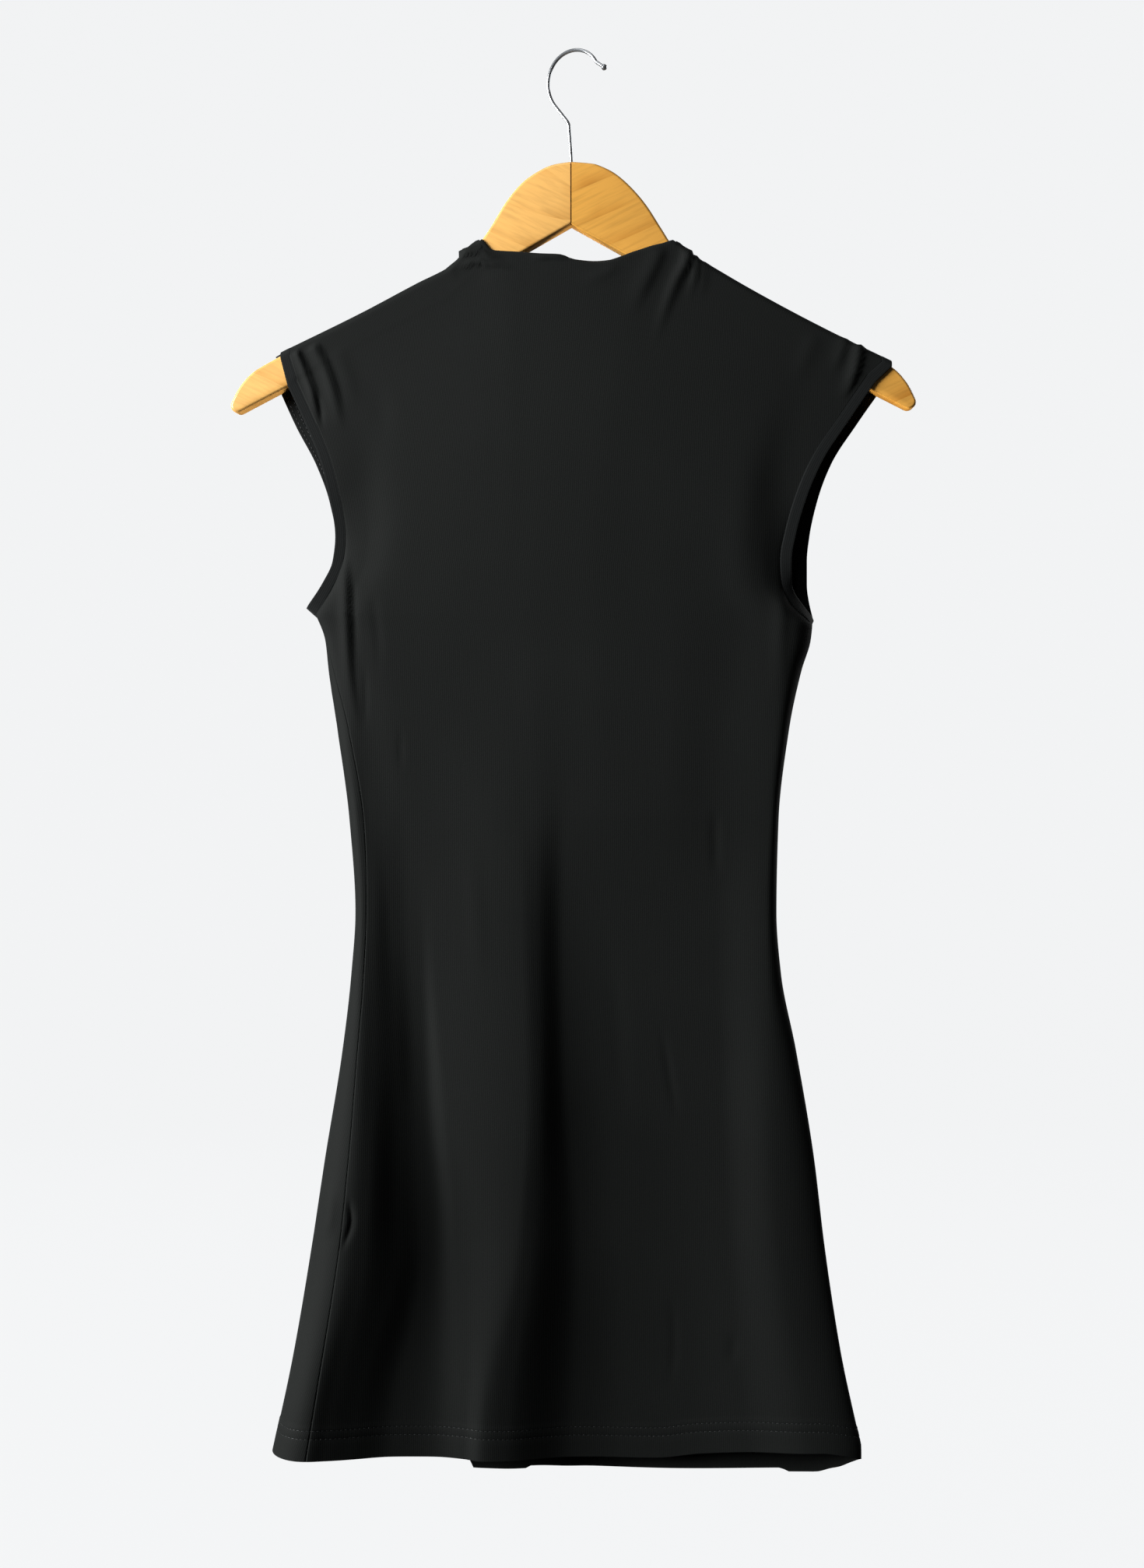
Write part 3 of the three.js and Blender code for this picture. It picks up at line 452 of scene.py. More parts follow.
def band_column(hand, face, across, proud=BAND_PROUD, shaped=True):
    """Points up an armhole at a distance across its band: up the yoke, up the arm and over it."""
    yoke = armhole_edge(hand, face, yoke_steps, shaped) + band_way(hand, face, yoke_steps, shaped) * across
    inward = 1 if hand == "left" else -1
    out = BAND_WIDTH + 0.5 - across
    end_x, end_z = BAND_TOP[hand, face]
    top_x = end_x - inward * out * math.cos(ARM_SLOPE)
    top_z = end_z - CLOTH / 2 + proud - out * math.sin(ARM_SLOPE)
    t = np.linspace(0, 1, ARM_ROWS + 1)[1:]
    x = mix(yoke[-1, 0], top_x, t)
    arm = np.stack([x, face_y(face, x) + SIDE[face] * proud, mix(yoke[-1, 2], top_z - OVER_ROUND, t)], -1)
    y = mix(arm[-1, 1], middle_y(top_x), OVER_BACK)
    over = np.stack([0 * y + top_x, y, top_z - OVER_ROUND + OVER_UP], -1)
    return yoke, arm, over


print("band rows", sum(len(part) for part in band_column("left", "front", 0)))

# %% [markdown]
# ## Creases
# The long folds give the drape, and creases give the cloth its weight: sharp little pulls where the
# neck is bunched against the wood, tucks at the shoulder ends, and faint vertical lines where the
# jersey has been folded away. Each crease is a short route across the front or the back with a
# width and a height. A height above zero is a ridge and below zero a trough.

# %% Crease table
# Each row holds a width, a height, how much of the route it takes to rise and to fade, how many times
# wider the side on the right of the route is, and the route itself as x, z pairs.
CREASES = {
    "front": [
        # The jersey is bunched against the wood at the right neck point.
        (2.8, 1.9, 0.05, 0.8, 1.2, [(75, -124), (72.5, -136), (66, -150), (60, -165), (55, -180),
                                    (51, -194)]),
        (1.1, 1.0, 0.1, 0.6, 2.0, [(76.5, -126), (73.5, -138), (67.5, -152)]),
        (1.5, 1.4, 0.1, 0.6, 1.6, [(79.5, -130), (79, -140), (77, -152), (74, -164)]),
        (3.0, 0.5, 0.1, 0.6, 1.2, [(84, -136), (83, -150), (80, -164)]),
        (3.2, 1.2, 0.15, 0.6, 2.2, [(58, -126), (51, -142), (42, -160), (36, -176)]),
        (4.0, 0.5, 0.3, 0.5, 1.0, [(30, -138), (18, -146), (2, -150)]),
        # The left neck point, where the neck has slumped on the wood and rolls over itself.
        (2.3, 2.6, 0.15, 0.45, 0.45, [(-82, -134), (-73, -130.5), (-64, -130.8), (-54, -133.6),
                                      (-44, -135.8)]),
        (2.0, 1.9, 0.25, 0.5, 0.4, [(-76, -138.5), (-64, -137.6), (-50, -139.5), (-38, -142)]),
        (2.6, 0.7, 0.3, 0.5, 0.7, [(-84, -141), (-76, -139), (-68, -143)]),
        (1.6, 1.3, 0.3, 0.4, 0.5, [(-30, -135), (-14, -134.4), (2, -134.6)]),
        (3.0, -0.5, 0.3, 0.5, 1.0, [(-80, -143), (-68, -146), (-52, -147)]),
        # Tucks at the left shoulder end.
        (1.5, 2.0, 0.04, 0.5, 2.2, [(-182, -192), (-175.5, -208), (-170, -224), (-167.5, -242)]),
        (1.8, -0.9, 0.3, 0.5, 1.0, [(-171, -218), (-166, -233), (-164.5, -246)]),
        (1.9, 2.0, 0.04, 0.55, 2.6, [(-170.5, -188), (-161.5, -206), (-155.5, -226), (-151.5, -248)]),
        (5.0, 0.5, 0.2, 0.5, 1.0, [(-157, -190), (-148, -212), (-142, -236)]),
        (7.0, -0.4, 0.5, 0.5, 1.0, [(-132, -205), (-126, -235), (-124, -262)]),
        # A deep tuck at the right shoulder end, with the cloth beside it pushed up.
        (1.5, 2.2, 0.05, 0.6, 3.0, [(186.5, -191), (184, -204), (180.5, -215), (173, -228)]),
        (2.2, 0.9, 0.1, 0.6, 2.0, [(177, -186), (173, -198), (167, -211)]),
        (5.0, 0.5, 0.2, 0.5, 1.0, [(157, -182), (150, -200), (142, -216)]),
        # Under the left arm.
        (1.7, 2.0, 0.15, 0.6, 2.6, [(-149.5, -326), (-148.5, -350), (-148, -374), (-146.5, -401),
                                    (-139, -450)]),
        (1.8, -0.8, 0.3, 0.6, 1.0, [(-144.5, -340), (-143.5, -370), (-142, -401)]),
        (2.4, -0.5, 0.2, 0.6, 1.0, [(-132, -350), (-128, -380), (-127, -410)]),
        (1.4, -0.45, 0.4, 0.4, 1.0, [(-136, -396), (-136, -442)]),
        (1.4, -0.4, 0.4, 0.4, 1.0, [(-113, -436), (-113, -470)]),
        # Beside the right underarm the cloth stands up in a long low ridge.
        (3.5, 1.0, 0.4, 0.5, 1.6, [(137, -300), (135, -340), (134, -385), (131, -430)]),
        # Faint long lines on the skirt.
        (2.8, -0.35, 0.4, 0.4, 1.0, [(56, -630), (62, -665), (68, -700)]),
        (3.0, -0.3, 0.4, 0.4, 1.0, [(63, -805), (66, -845), (62, -880)]),
        (3.0, -0.4, 0.4, 0.4, 1.0, [(105, -835), (104, -860)]),
        (3.0, -0.45, 0.4, 0.4, 1.0, [(91, -488), (92, -540)]),
        (7.0, -0.35, 0.5, 0.5, 1.0, [(22, -560), (28, -640), (33, -720)]),
        (6.0, 0.3, 0.5, 0.5, 1.0, [(-70, -500), (-64, -560), (-60, -620)]),
        # A pucker where the left seam is caught.
        (1.8, -1.5, 0.3, 0.45, 1.0, [(-146, -741), (-143.5, -756), (-150.5, -778)]),
    ],
    "back": [
        # A plump fold beside the pucker at the left seam.
        (3.4, 1.1, 0.4, 0.4, 1.0, [(-157, -732), (-157, -752), (-162, -772)]),
        # Pulls like those of the front, in other places.
        (2.0, 2.0, 0.05, 0.6, 0.5, [(-66, -126), (-58, -142), (-49, -160), (-44, -182)]),
        (3.0, 0.8, 0.1, 0.6, 1.0, [(-52, -132), (-42, -148), (-30, -160)]),
        (2.2, 1.5, 0.05, 0.6, 1.8, [(68, -126), (60, -143), (55, -163)]),
        (1.6, 1.0, 0.3, 0.4, 1.0, [(24, -137), (6, -139), (-14, -137)]),
        (2.0, 1.6, 0.05, 0.6, 0.6, [(-176, -196), (-168, -214), (-163, -236)]),
        (1.8, 1.8, 0.05, 0.6, 2.2, [(183, -196), (174, -214), (166, -235)]),
        (3.0, 0.7, 0.1, 0.6, 1.0, [(167, -190), (159, -207), (151, -224)]),
        (2.2, 1.4, 0.2, 0.6, 0.6, [(143, -338), (139, -372), (134, -420)]),
        (2.6, 1.0, 0.2, 0.6, 1.0, [(-138, -345), (-134, -385), (-131, -425)]),
        (6.0, 0.4, 0.5, 0.5, 1.0, [(-30, -540), (-24, -610), (-26, -690)]),
        (3.0, -0.5, 0.4, 0.4, 1.0, [(46, -700), (52, -760), (50, -815)]),
    ],
}
print(len(CREASES["front"]), "creases on the front and", len(CREASES["back"]), "on the back")

# %% Crease heights
CREASE_REACH = 2.6      # in widths, beyond which nothing is left of a crease


def step_up(t):
    t = np.clip(t, 0, 1)
    return t * t * (3 - 2 * t)


def crease_depth(face, x, z):
    """How far all the creases push the cloth out at x, z."""
    total = np.zeros_like(x)
    for width, height, rise, fade, lean, points in CREASES[face]:
        route = np.array(points, float)
        reach = CREASE_REACH * width * max(1.0, lean)
        near = (x > route[:, 0].min() - reach) & (x < route[:, 0].max() + reach)
        near &= (z > route[:, 1].min() - reach) & (z < route[:, 1].max() + reach)
        if not near.any():
            continue
        shares = np.linspace(0, 1, 4 * len(route))
        steps = np.concatenate([[0], np.cumsum(np.hypot(*np.diff(route, axis=0).T))])
        steps /= steps[-1]
        line = np.stack([smooth(steps, route[:, 0], shares), smooth(steps, route[:, 1], shares)], 1)
        point = np.stack([x[near], z[near]], 1)[:, None]
        course = (line[1:] - line[:-1])[None]
        offset = point - line[None, :-1]
        raw = (offset * course).sum(-1) / (course ** 2).sum(-1)
        part = np.clip(raw, 0, 1)
        gap = offset - course * part[..., None]
        distance = np.hypot(gap[..., 0], gap[..., 1])
        best = distance.argmin(1)
        pick = np.arange(len(best))
        side = course[0, best, 0] * offset[pick, best, 1] - course[0, best, 1] * offset[pick, best, 0]
        spread = np.where(side < 0, width * lean, width)
        share = (best + part[pick, best]) / (len(line) - 1)
        envelope = step_up(share / rise) * step_up((1 - share) / fade)
        total[near] += height * envelope * np.exp(-(distance[pick, best] / spread) ** 2)
    return total


print("left of a crease at its reach", round(math.exp(-CREASE_REACH ** 2), 4))

# %% [markdown]
# ## Panels
# A panel is a grid of points. Its columns run from the hem up to the hanger, closer together at the
# side seams and at the neck points where the small creases are. Its rows are closest at the hem, so
# that the two lines of stitching can draw the cloth in.

# %% Columns and rows


def stretches(stops):
    """Numbers that run through stops of (value, count), count steps to each next value."""
    out = [stops[0][0]]
    for (start, _), (end, count) in zip(stops, stops[1:]):
        out.extend(np.linspace(start, end, count + 1)[1:])
    return np.array(out)


COLUMNS = stretches([(0, 0), (0.02, 7), (0.1, 14), (0.28, 24), (NECK_LEFT, 9), (0.38, 12), (0.6, 28),
                     (NECK_RIGHT, 9), (0.72, 13), (0.93, 28), (0.985, 10), (1, 5)])
LOWER_STITCHES, UPPER_STITCHES = STITCH_HEIGHTS = (14.3, 19.7)
HEM_TURNED = 21         # how far up the hem's turned cloth reaches


def beside(height):
    """Rows close to a line of stitches, for the groove that it draws."""
    return [round(height + step, 1) for step in (-1.1, -0.4, 0, 0.4, 1.1)]


HEM_ROWS = [0, 0.5, 1.3, 3, 5.5, 9.5, *beside(LOWER_STITCHES), 17, *beside(UPPER_STITCHES), 22.4, 24.5]
BODY_ROWS = 190
LEVEL_STEP = 2.0
levels = np.arange(-355, -936, -LEVEL_STEP)
body_table = {face: np.stack([along(panel_line(face, z), COLUMNS) for z in levels]) for face in SIDE}


def body_points(face, z):
    """The body's points, one for each column, at a height for each column."""
    place = (levels[0] - z) / LEVEL_STEP
    low = np.clip(place.astype(int), 0, len(levels) - 2)
    pick = np.arange(len(COLUMNS))
    table = body_table[face]
    xy = mix(table[low, pick], table[low + 1, pick], (place - low)[:, None])
    return np.concatenate([xy, z[:, None]], 1)


print(len(COLUMNS), "columns and", len(HEM_ROWS) + BODY_ROWS + YOKE_ROWS, "rows below the hanger")

# %% The grid of a panel
TUCK_UNDER_BAND = 6.6
CORNER_EASE = 4
END_REACH = 0.05        # of the panel's width, that moves with its ends
FORWARD_REACH = 0.09    # the same, for what stands forward beside an armhole
SIDE_REACH = 0.07       # the same, for the round of a side fold
SIDE_FADE = 5           # how much sooner that round dies out above the underarm
BODY_FADE = 1.6
FACING_DEPTH = 12
FOLD_RADIUS = 0.8       # of the turned edge of the neck
FOLD_ROWS = 4


def join_ends(row, left, right):
    """Moves the two ends of a row to where the bands are, and its neighbours with them."""
    near_left = np.exp(-(COLUMNS / END_REACH) ** 2)[:, None]
    near_right = np.exp(-((1 - COLUMNS) / END_REACH) ** 2)[:, None]
    return row + (left - row[0]) * near_left + (right - row[-1]) * near_right


def panel_grid(face):
    """The points of a panel in rows up from the hem, and which of the cells between them are cloth."""
    edge = {hand: band_column(hand, face, TUCK_UNDER_BAND, 0) for hand in ("left", "right")}
    plain = {hand: band_column(hand, face, TUCK_UNDER_BAND, 0, shaped=False)[0] for hand in ("left", "right")}
    s = COLUMNS
    hem = smooth([at for at, _ in HEM[face]], [height for _, height in HEM[face]], s)
    under_z = mix(edge["left"][0][0, 2], edge["right"][0][0, 2], s)
    rows = [body_points(face, hem + height) for height in HEM_ROWS]
    start = hem + HEM_ROWS[-1]
    rows += [body_points(face, mix(start, under_z, t)) for t in np.linspace(0, 1, BODY_ROWS + 1)[1:]]

    bottom = rows[-1]
    top_x = smooth(TOP_AT, TOP["low x"], s)
    top = np.stack([top_x, face_y(face, top_x), smooth(TOP_AT, TOP["low"], s)], 1)
    top = join_ends(top, edge["left"][0][-1], edge["right"][0][-1])

    # The ruled surface between the two armholes, plus the sag of the lower and upper rows. The round
    # of the side folds dies out just above them, so that the cloth lies flat beside the bands.
    share = s[:, None]
    bottom_sag = bottom - mix(bottom[0], bottom[-1], share)
    top_sag = top - mix(top[0], top[-1], share)
    from_side = np.minimum(s, 1 - s)
    fade = BODY_FADE + SIDE_FADE * np.exp(-(from_side / SIDE_REACH) ** 2)
    for k in range(1, YOKE_ROWS + 1):
        t = yoke_steps[k]
        ease = (1 - t) ** CORNER_EASE
        left = plain["left"][k] + (bottom[0] - plain["left"][0]) * ease
        right = plain["right"][k] + (bottom[-1] - plain["right"][0]) * ease
        row = mix(left, right, share) + mix(bottom_sag, top_sag, t)
        row[:, 1] = mix(left[1], right[1], s) + bottom_sag[:, 1] * (1 - t) ** fade + top_sag[:, 1] * t
        for hand, away in (("left", share), ("right", 1 - share)):
            lift = edge[hand][0] - plain[hand]
            row += (lift[k] - lift[0] * ease) * np.exp(-(away / FORWARD_REACH) ** 2)
        rows.append(row)

    shoulder = (s <= NECK_LEFT + 1e-9) | (s >= NECK_RIGHT - 1e-9)
    end_x = smooth(TOP_AT, TOP["x"], s)
    end_z = smooth(TOP_AT, TOP[face], s) - np.where(shoulder, OVER_ROUND + CLOTH / 2, CLOTH)
    end = np.stack([end_x, face_y(face, end_x), end_z], 1)
    end = join_ends(end, edge["left"][1][-1], edge["right"][1][-1])
    end_x = end[:, 0]
    end_z = end[:, 2]
    for k in range(ARM_ROWS):
        p = mix(top, end, (k + 1) / ARM_ROWS)
        p[:, 1] = face_y(face, p[:, 0])
        rows.append(join_ends(p, edge["left"][1][k], edge["right"][1][k]))

    # Over the wood at the shoulders, and folded inside round the neck.
    arm_y = end[:, 1]
    inward = -SIDE[face]
    turns = len(OVER_BACK)
    for k in range(turns):
        over = np.stack([end_x, mix(arm_y, middle_y(end_x), OVER_BACK[k]), end_z + OVER_UP[k]], 1)
        angle = math.pi * min(1, (k + 1) / FOLD_ROWS)
        back = FOLD_RADIUS * (1 - math.cos(angle))
        up = FOLD_RADIUS * math.sin(angle)
        fold = np.stack([end_x, arm_y + inward * back, end_z + up], 1)
        fold[:, 2] -= FACING_DEPTH * max(0, (k - FOLD_ROWS + 1) / (turns - FOLD_ROWS))
        over = join_ends(over, edge["left"][2][k], edge["right"][2][k])
        rows.append(np.where(shoulder[:, None], over, fold))
    grid = np.stack(rows)
    keep = np.ones((len(rows) - 1, len(s) - 1), bool)
    bridge = shoulder[:-1] != shoulder[1:]
    keep[-turns + FOLD_ROWS - 1:, bridge] = False
    return grid, keep


SOFT_BELOW = 46         # rows of the body, and of the yoke, whose bend in depth is evened out
SOFT_ABOVE = 34
SOFT_TIMES = 260


def soften(grid, first, last, times):
    """Evens out the depth of some rows, up and down each column."""
    y = grid[:, :, 1]
    for _ in range(times):
        y[first:last] = (y[first - 1:last - 1] + 2 * y[first:last] + y[first + 1:last + 1]) / 4


front_grid, front_keep = panel_grid("front")
back_grid, back_keep = panel_grid("back")
under_row = len(HEM_ROWS) + BODY_ROWS
for grid in (front_grid, back_grid):
    soften(grid, under_row - SOFT_BELOW, under_row + SOFT_ABOVE, SOFT_TIMES)
print("front grid", front_grid.shape)

# %% Cloth walls


def grid_normals(grid, keep, flip):
    """Unit normals of the grid's points, from the cells that are kept."""
    diagonal_1 = grid[1:, 1:] - grid[:-1, :-1]
    diagonal_2 = grid[1:, :-1] - grid[:-1, 1:]
    cell = np.cross(diagonal_1, diagonal_2) * keep[..., None]
    if flip:
        cell = -cell
    total = np.zeros_like(grid)
    for rows in (slice(None, -1), slice(1, None)):
        for columns in (slice(None, -1), slice(1, None)):
            total[rows, columns] += cell
    return total / np.maximum(np.linalg.norm(total, axis=-1, keepdims=True), 1e-12)


def cloth_wall(name, grid, keep, thickness, flip, looped=False):
    """A closed wall of cloth from the points in its middle, with a UV map in metres."""
    normals = grid_normals(grid, keep, flip)
    rows, columns = grid.shape[:2]
    count = rows * columns
    spread = np.arange(count).reshape(rows, columns)
    welded = spread.copy()
    if looped:
        normals[0] = normals[-1] = (normals[0] + normals[-1]) / 2
        welded[-1] = welded[0]
    half = normals * (np.asarray(thickness) / 2)[..., None]
    points = np.concatenate([(grid + half).reshape(-1, 3), (grid - half).reshape(-1, 3)]) * MM

    cells = np.stack([spread[:-1, :-1], spread[:-1, 1:], spread[1:, 1:], spread[1:, :-1]], -1)[keep]
    if flip:
        cells = cells[:, ::-1]
    weld = welded.ravel()
    edges = np.concatenate([cells[:, [k, (k + 1) % 4]] for k in range(4)])
    known = set(map(tuple, weld[edges].tolist()))
    free = [(b, a) not in known for a, b in weld[edges].tolist()]
    rim = edges[free]
    rim_walls = np.stack([rim[:, 1], rim[:, 0], rim[:, 0] + count, rim[:, 1] + count], 1)
    faces = np.concatenate([cells, cells[:, ::-1] + count, rim_walls])
    weld = np.concatenate([weld, weld + count])
    used = np.unique(weld[faces])
    renumber = np.full(2 * count, -1)
    renumber[used] = np.arange(len(used))
    mesh = bpy.data.meshes.new(name)
    mesh.from_pydata(points[used].tolist(), [], renumber[weld[faces]].tolist())

    across = np.linalg.norm(np.diff(grid, axis=1), axis=-1)
    u = np.concatenate([np.zeros((rows, 1)), np.cumsum(across, 1)], 1)
    u -= u[:, columns // 2][:, None]
    up = np.linalg.norm(np.diff(grid, axis=0), axis=-1)
    v = np.concatenate([np.zeros((1, columns)), np.cumsum(up, 0)], 0)
    uv = np.tile(np.stack([u, v], -1).reshape(-1, 2) * MM, (2, 1))
    layer = mesh.uv_layers.new(name="cloth")
    layer.data.foreach_set("uv", uv[faces.ravel()].astype(np.float32).ravel())
    mesh.shade_smooth()
    piece = bpy.data.objects.new(name, mesh)
    bpy.context.collection.objects.link(piece)
    print(name, len(mesh.polygons), "faces")
    return piece


# Down to this height the wood lies behind the cloth: lower by so much for each millimetre outwards.
WOOD_FOOT = -122
WOOD_FALL = 0.49
WOOD_MARGIN = 10        # the change begins this far below the wood
WOOD_BLEND = 8          # and takes this long
DEEPEST = -9.0          # trough in free cloth
DEEPEST_ON_WOOD = -0.25
STITCH_DRAW = 0.22      # how far the stitches draw the cloth in
STITCH_DRAW_REACH = 0.55


def creased(face, grid, keep):
    """The grid with its creases, pushed out along its normals, and the hem drawn in at its stitches."""
    normals = grid_normals(grid, keep, face == "back")
    depth = crease_depth(face, grid[..., 0], grid[..., 2])
    # Over the wood the cloth can stand out, but it can't sink in.
    wood_foot = WOOD_FOOT - WOOD_FALL * np.abs(grid[..., 0] - STEM[0])
    over_wood = step_up((grid[..., 2] - wood_foot + WOOD_MARGIN) / WOOD_BLEND)
    depth = np.maximum(depth, mix(DEEPEST, DEEPEST_ON_WOOD, over_wood))
    for height in STITCH_HEIGHTS:
        away = (hem_rows - height) / STITCH_DRAW_REACH
        depth[:len(hem_rows)] -= STITCH_DRAW * np.exp(-away ** 2)[:, None]
    return grid + normals * depth[..., None]


hem_rows = np.array(HEM_ROWS)
front_grid = creased("front", front_grid, front_keep)
back_grid = creased("back", back_grid, back_keep)
wall = np.full(front_grid.shape[:2], CLOTH)
wall[:len(hem_rows)] = np.where(hem_rows < HEM_TURNED, TURNED_CLOTH, CLOTH)[:, None]
front = cloth_wall("front", front_grid, front_keep, wall, False)
back = cloth_wall("back", back_grid, back_keep, wall, True)

# %% [markdown]
# ## Armhole bands
# Each armhole is bound with a folded strip of the same jersey, sewn down with two rows of stitches.

# %% Bands
BAND_WALL = 1.2
# The gathers at the left side seam: extra width as a share and how far up it goes, then the ruffles.
SPREAD = 0.35
SPREAD_REACH = 0.06
RUFFLE = 0.8
RUFFLE_PITCH = 3.4
RUFFLE_REACH = 7
RUFFLE_ACROSS = 0.4     # how much of a ruffle goes across the band


def gathers(hand, face, across):
    """How far the points across a band move where it is drawn together at the side seam."""
    wider = SPREAD * across * np.exp(-(yoke_steps / SPREAD_REACH) ** 2)
    length = yoke_steps * (ARMHOLE_AT[-1] - UNDERARM[hand]["z"])
    wave = np.sin(length * 2 * math.pi / RUFFLE_PITCH) * np.exp(-(length / RUFFLE_REACH) ** 2)
    ruffle = RUFFLE * wave * across / BAND_WIDTH
    sideways = band_way(hand, face, yoke_steps) * (wider + ruffle * RUFFLE_ACROSS)[:, None]
    return sideways + np.array([0, SIDE[face], 0]) * ruffle[:, None]


def band_loop(hand, across):
    """Points right round an armhole at a distance across its band."""
    sides = []
    for face in ("front", "back"):
        yoke, arm, over = band_column(hand, face, across)
        if hand == "left":
            # The binding is gathered where the side seam runs into it.
            yoke += gathers(hand, face, across)
        sides.append(np.concatenate([yoke, arm, over]))
    return np.concatenate([sides[0], sides[1][-2:0:-1]])


def band(name, hand):
    """A binding. It is thinner at its outer fold, and thins out where the cloth runs in under it."""
    across = np.array([0, 0.5, 1.2, 2.4, 3.6, 4.6, 5.6, 6.4, 7.0, BAND_WIDTH])
    loops = np.stack([band_loop(hand, a) for a in across], 1)
    loops = np.concatenate([loops, loops[:1]])
    keep = np.ones((len(loops) - 1, len(across) - 1), bool)
    flip = hand == "right"
    thickness = np.full(loops.shape[:2], BAND_WALL)
    thickness[:, 0] = 1.0
    thickness[:, -3:] = [1.1, 1.0, 0.8]
    return cloth_wall(name, loops, keep, thickness, flip, looped=True)


left_band = band("armhole_binding_left", "left")
right_band = band("armhole_binding_right", "right")

# %% [markdown]
# ## Stitches
# A twin needle leaves two rows of short straight stitches on the outside. Each stitch is a small
# lozenge of thread, half sunk in the cloth.

# %% Stitches along a line
BAND_STITCHES = (2.4, 5.6)
STITCH_LENGTH = 2.3
STITCH_PITCH = 3.1
STITCH_TRIM = 2.0       # left free at the ends of a row
THREAD = 0.42


def stitch_row(line, out):
    """The corners of each stitch along a line of points, with outward directions, and a stitch's faces."""
    steps = np.linalg.norm(np.diff(line, axis=0), axis=1)
    length = np.concatenate([[0], np.cumsum(steps)])
    centres = np.arange(STITCH_TRIM, length[-1] - STITCH_TRIM, STITCH_PITCH)

    def at(places, table):
        return np.stack([np.interp(places, length, column) for column in table.T], 1)

    middle = at(centres, line)
    way = at(centres + 0.5, line) - at(centres - 0.5, line)
    way /= np.linalg.norm(way, axis=1, keepdims=True)
    lift = at(centres, out)
    lift /= np.linalg.norm(lift, axis=1, keepdims=True)
    cross = np.cross(way, lift)
    points = []
    for along_share, girth in ((-0.5, 0.35), (-0.3, 0.95), (0.3, 0.95), (0.5, 0.35)):
        for k in range(6):
            turn = math.pi * k / 3
            radius = THREAD / 2 * girth
            offset = cross * math.cos(turn) * radius + lift * math.sin(turn) * radius
            points.append(middle + way * along_share * STITCH_LENGTH + offset)
    points = np.stack(points, 1)
    faces = [[5, 4, 3, 2, 1, 0], [18, 19, 20, 21, 22, 23]]
    for r in (0, 6, 12):
        for k in range(6):
            after = (k + 1) % 6
            faces.append([r + k, r + after, r + 6 + after, r + 6 + k])
    return points, faces


def stitches(name, rows):
    """One piece from several rows of stitches."""
    all_points = []
    all_faces = []
    for line, out in rows:
        points, faces = stitch_row(line, out)
        for one in points:
            start = len(all_points)
            all_points.extend((one * MM).tolist())
            all_faces.extend([[start + i for i in face] for face in faces])
    mesh = bpy.data.meshes.new(name)
    mesh.from_pydata(all_points, [], all_faces)
    mesh.shade_smooth()
    piece = bpy.data.objects.new(name, mesh)
    bpy.context.collection.objects.link(piece)
    bpy.context.view_layer.objects.active = piece
    print(name, len(all_points) // 24, "stitches")
    return piece


def hem_lines(grid, keep, flip):
    """The two lines of stitches on the outside of a hem, with their outward directions."""
    normals = grid_normals(grid, keep, flip)
    rows = []
    for height in STITCH_HEIGHTS:
        r = HEM_ROWS.index(height)
        rows.append((grid[r] + normals[r] * TURNED_CLOTH / 2, normals[r]))
    return rows


def band_lines(hand):
    """Two rows of stitches right round a band."""
    rows = []
    inside = band_loop(hand, 0)
    for across in BAND_STITCHES:
        line = band_loop(hand, across)
        edge = band_loop(hand, across + 0.5) - line
        course = np.roll(line, -1, axis=0) - np.roll(line, 1, axis=0)
        out = np.cross(course, edge) * (1 if hand == "left" else -1)
        out /= np.linalg.norm(out, axis=1, keepdims=True)
        rows.append((line + out * BAND_WALL / 2, out))
    print(hand, "band is", round(float(np.linalg.norm(np.diff(inside, axis=0), axis=1).sum())), "mm round")
    return rows


left_stitches = stitches("armhole_stitches_left", band_lines("left"))
right_stitches = stitches("armhole_stitches_right", band_lines("right"))
hem_rows_sewn = hem_lines(front_grid, front_keep, False) + hem_lines(back_grid, back_keep, True)
hem_stitches = stitches("hem_stitches", hem_rows_sewn)

# %% [markdown]
# ## The hanger
# Each half of the hanger is sawn from a board about 12 mm thick, rounded over at its edges and glued
# to the other half at a mitre. A flat outline is drawn with a ring of corners, filled, extruded to
# the board's thickness and rounded with a bevel. The mitre is then cut square.

# %% Outline of an arm
DOME_TOP = -72.5
ARM_DOME = {
    "left": [(0, DOME_TOP), (12.2, -74.3), (22.3, -78.8), (32.4, -86), (42.5, -98), (52.6, -114.2),
             (60, -124.5), (67, -132.3), (80, -140.8)],
    "right": [(0, DOME_TOP), (12, -73.4), (18.2, -74.8), (28.3, -79.8), (38.4, -88.4), (48.6, -100.2),
              (58.7, -115.8), (66, -126.6), (80, -140.3)],
}
ARM_SHOULDER = [(100, -151.3), (178, -188.8), (194.8, -197.0), (209.6, -205.4), (218.6, -215.0)]
NOSE = {"x": 219.9, "z": -227.2, "radius": 4.6, "start": 28, "end": -112}
UNDERSIDE = (186, -215.3)      # where the underside bends towards the tip
APEX = -113.1
BEYOND_MITRE = 12
HALF_JOINT = 0.06
ARM_ROUNDING = 1.9


def through(points, count):
    """A curve through points: each stretch leaves and reaches a point along its neighbours' line."""
    p = np.array([points[0], *points, points[-1]], float)
    out = []
    for share in np.linspace(0, len(points) - 1, count + 1):
        i = min(int(share), len(points) - 2)
        t = share - i
        p0, p1, p2, p3 = p[i:i + 4]
        out.append(0.5 * (2 * p1 + (p2 - p0) * t + (2 * p0 - 5 * p1 + 4 * p2 - p3) * t * t
                          + (3 * p1 - p0 - 3 * p2 + p3) * t ** 3))
    return np.array(out)


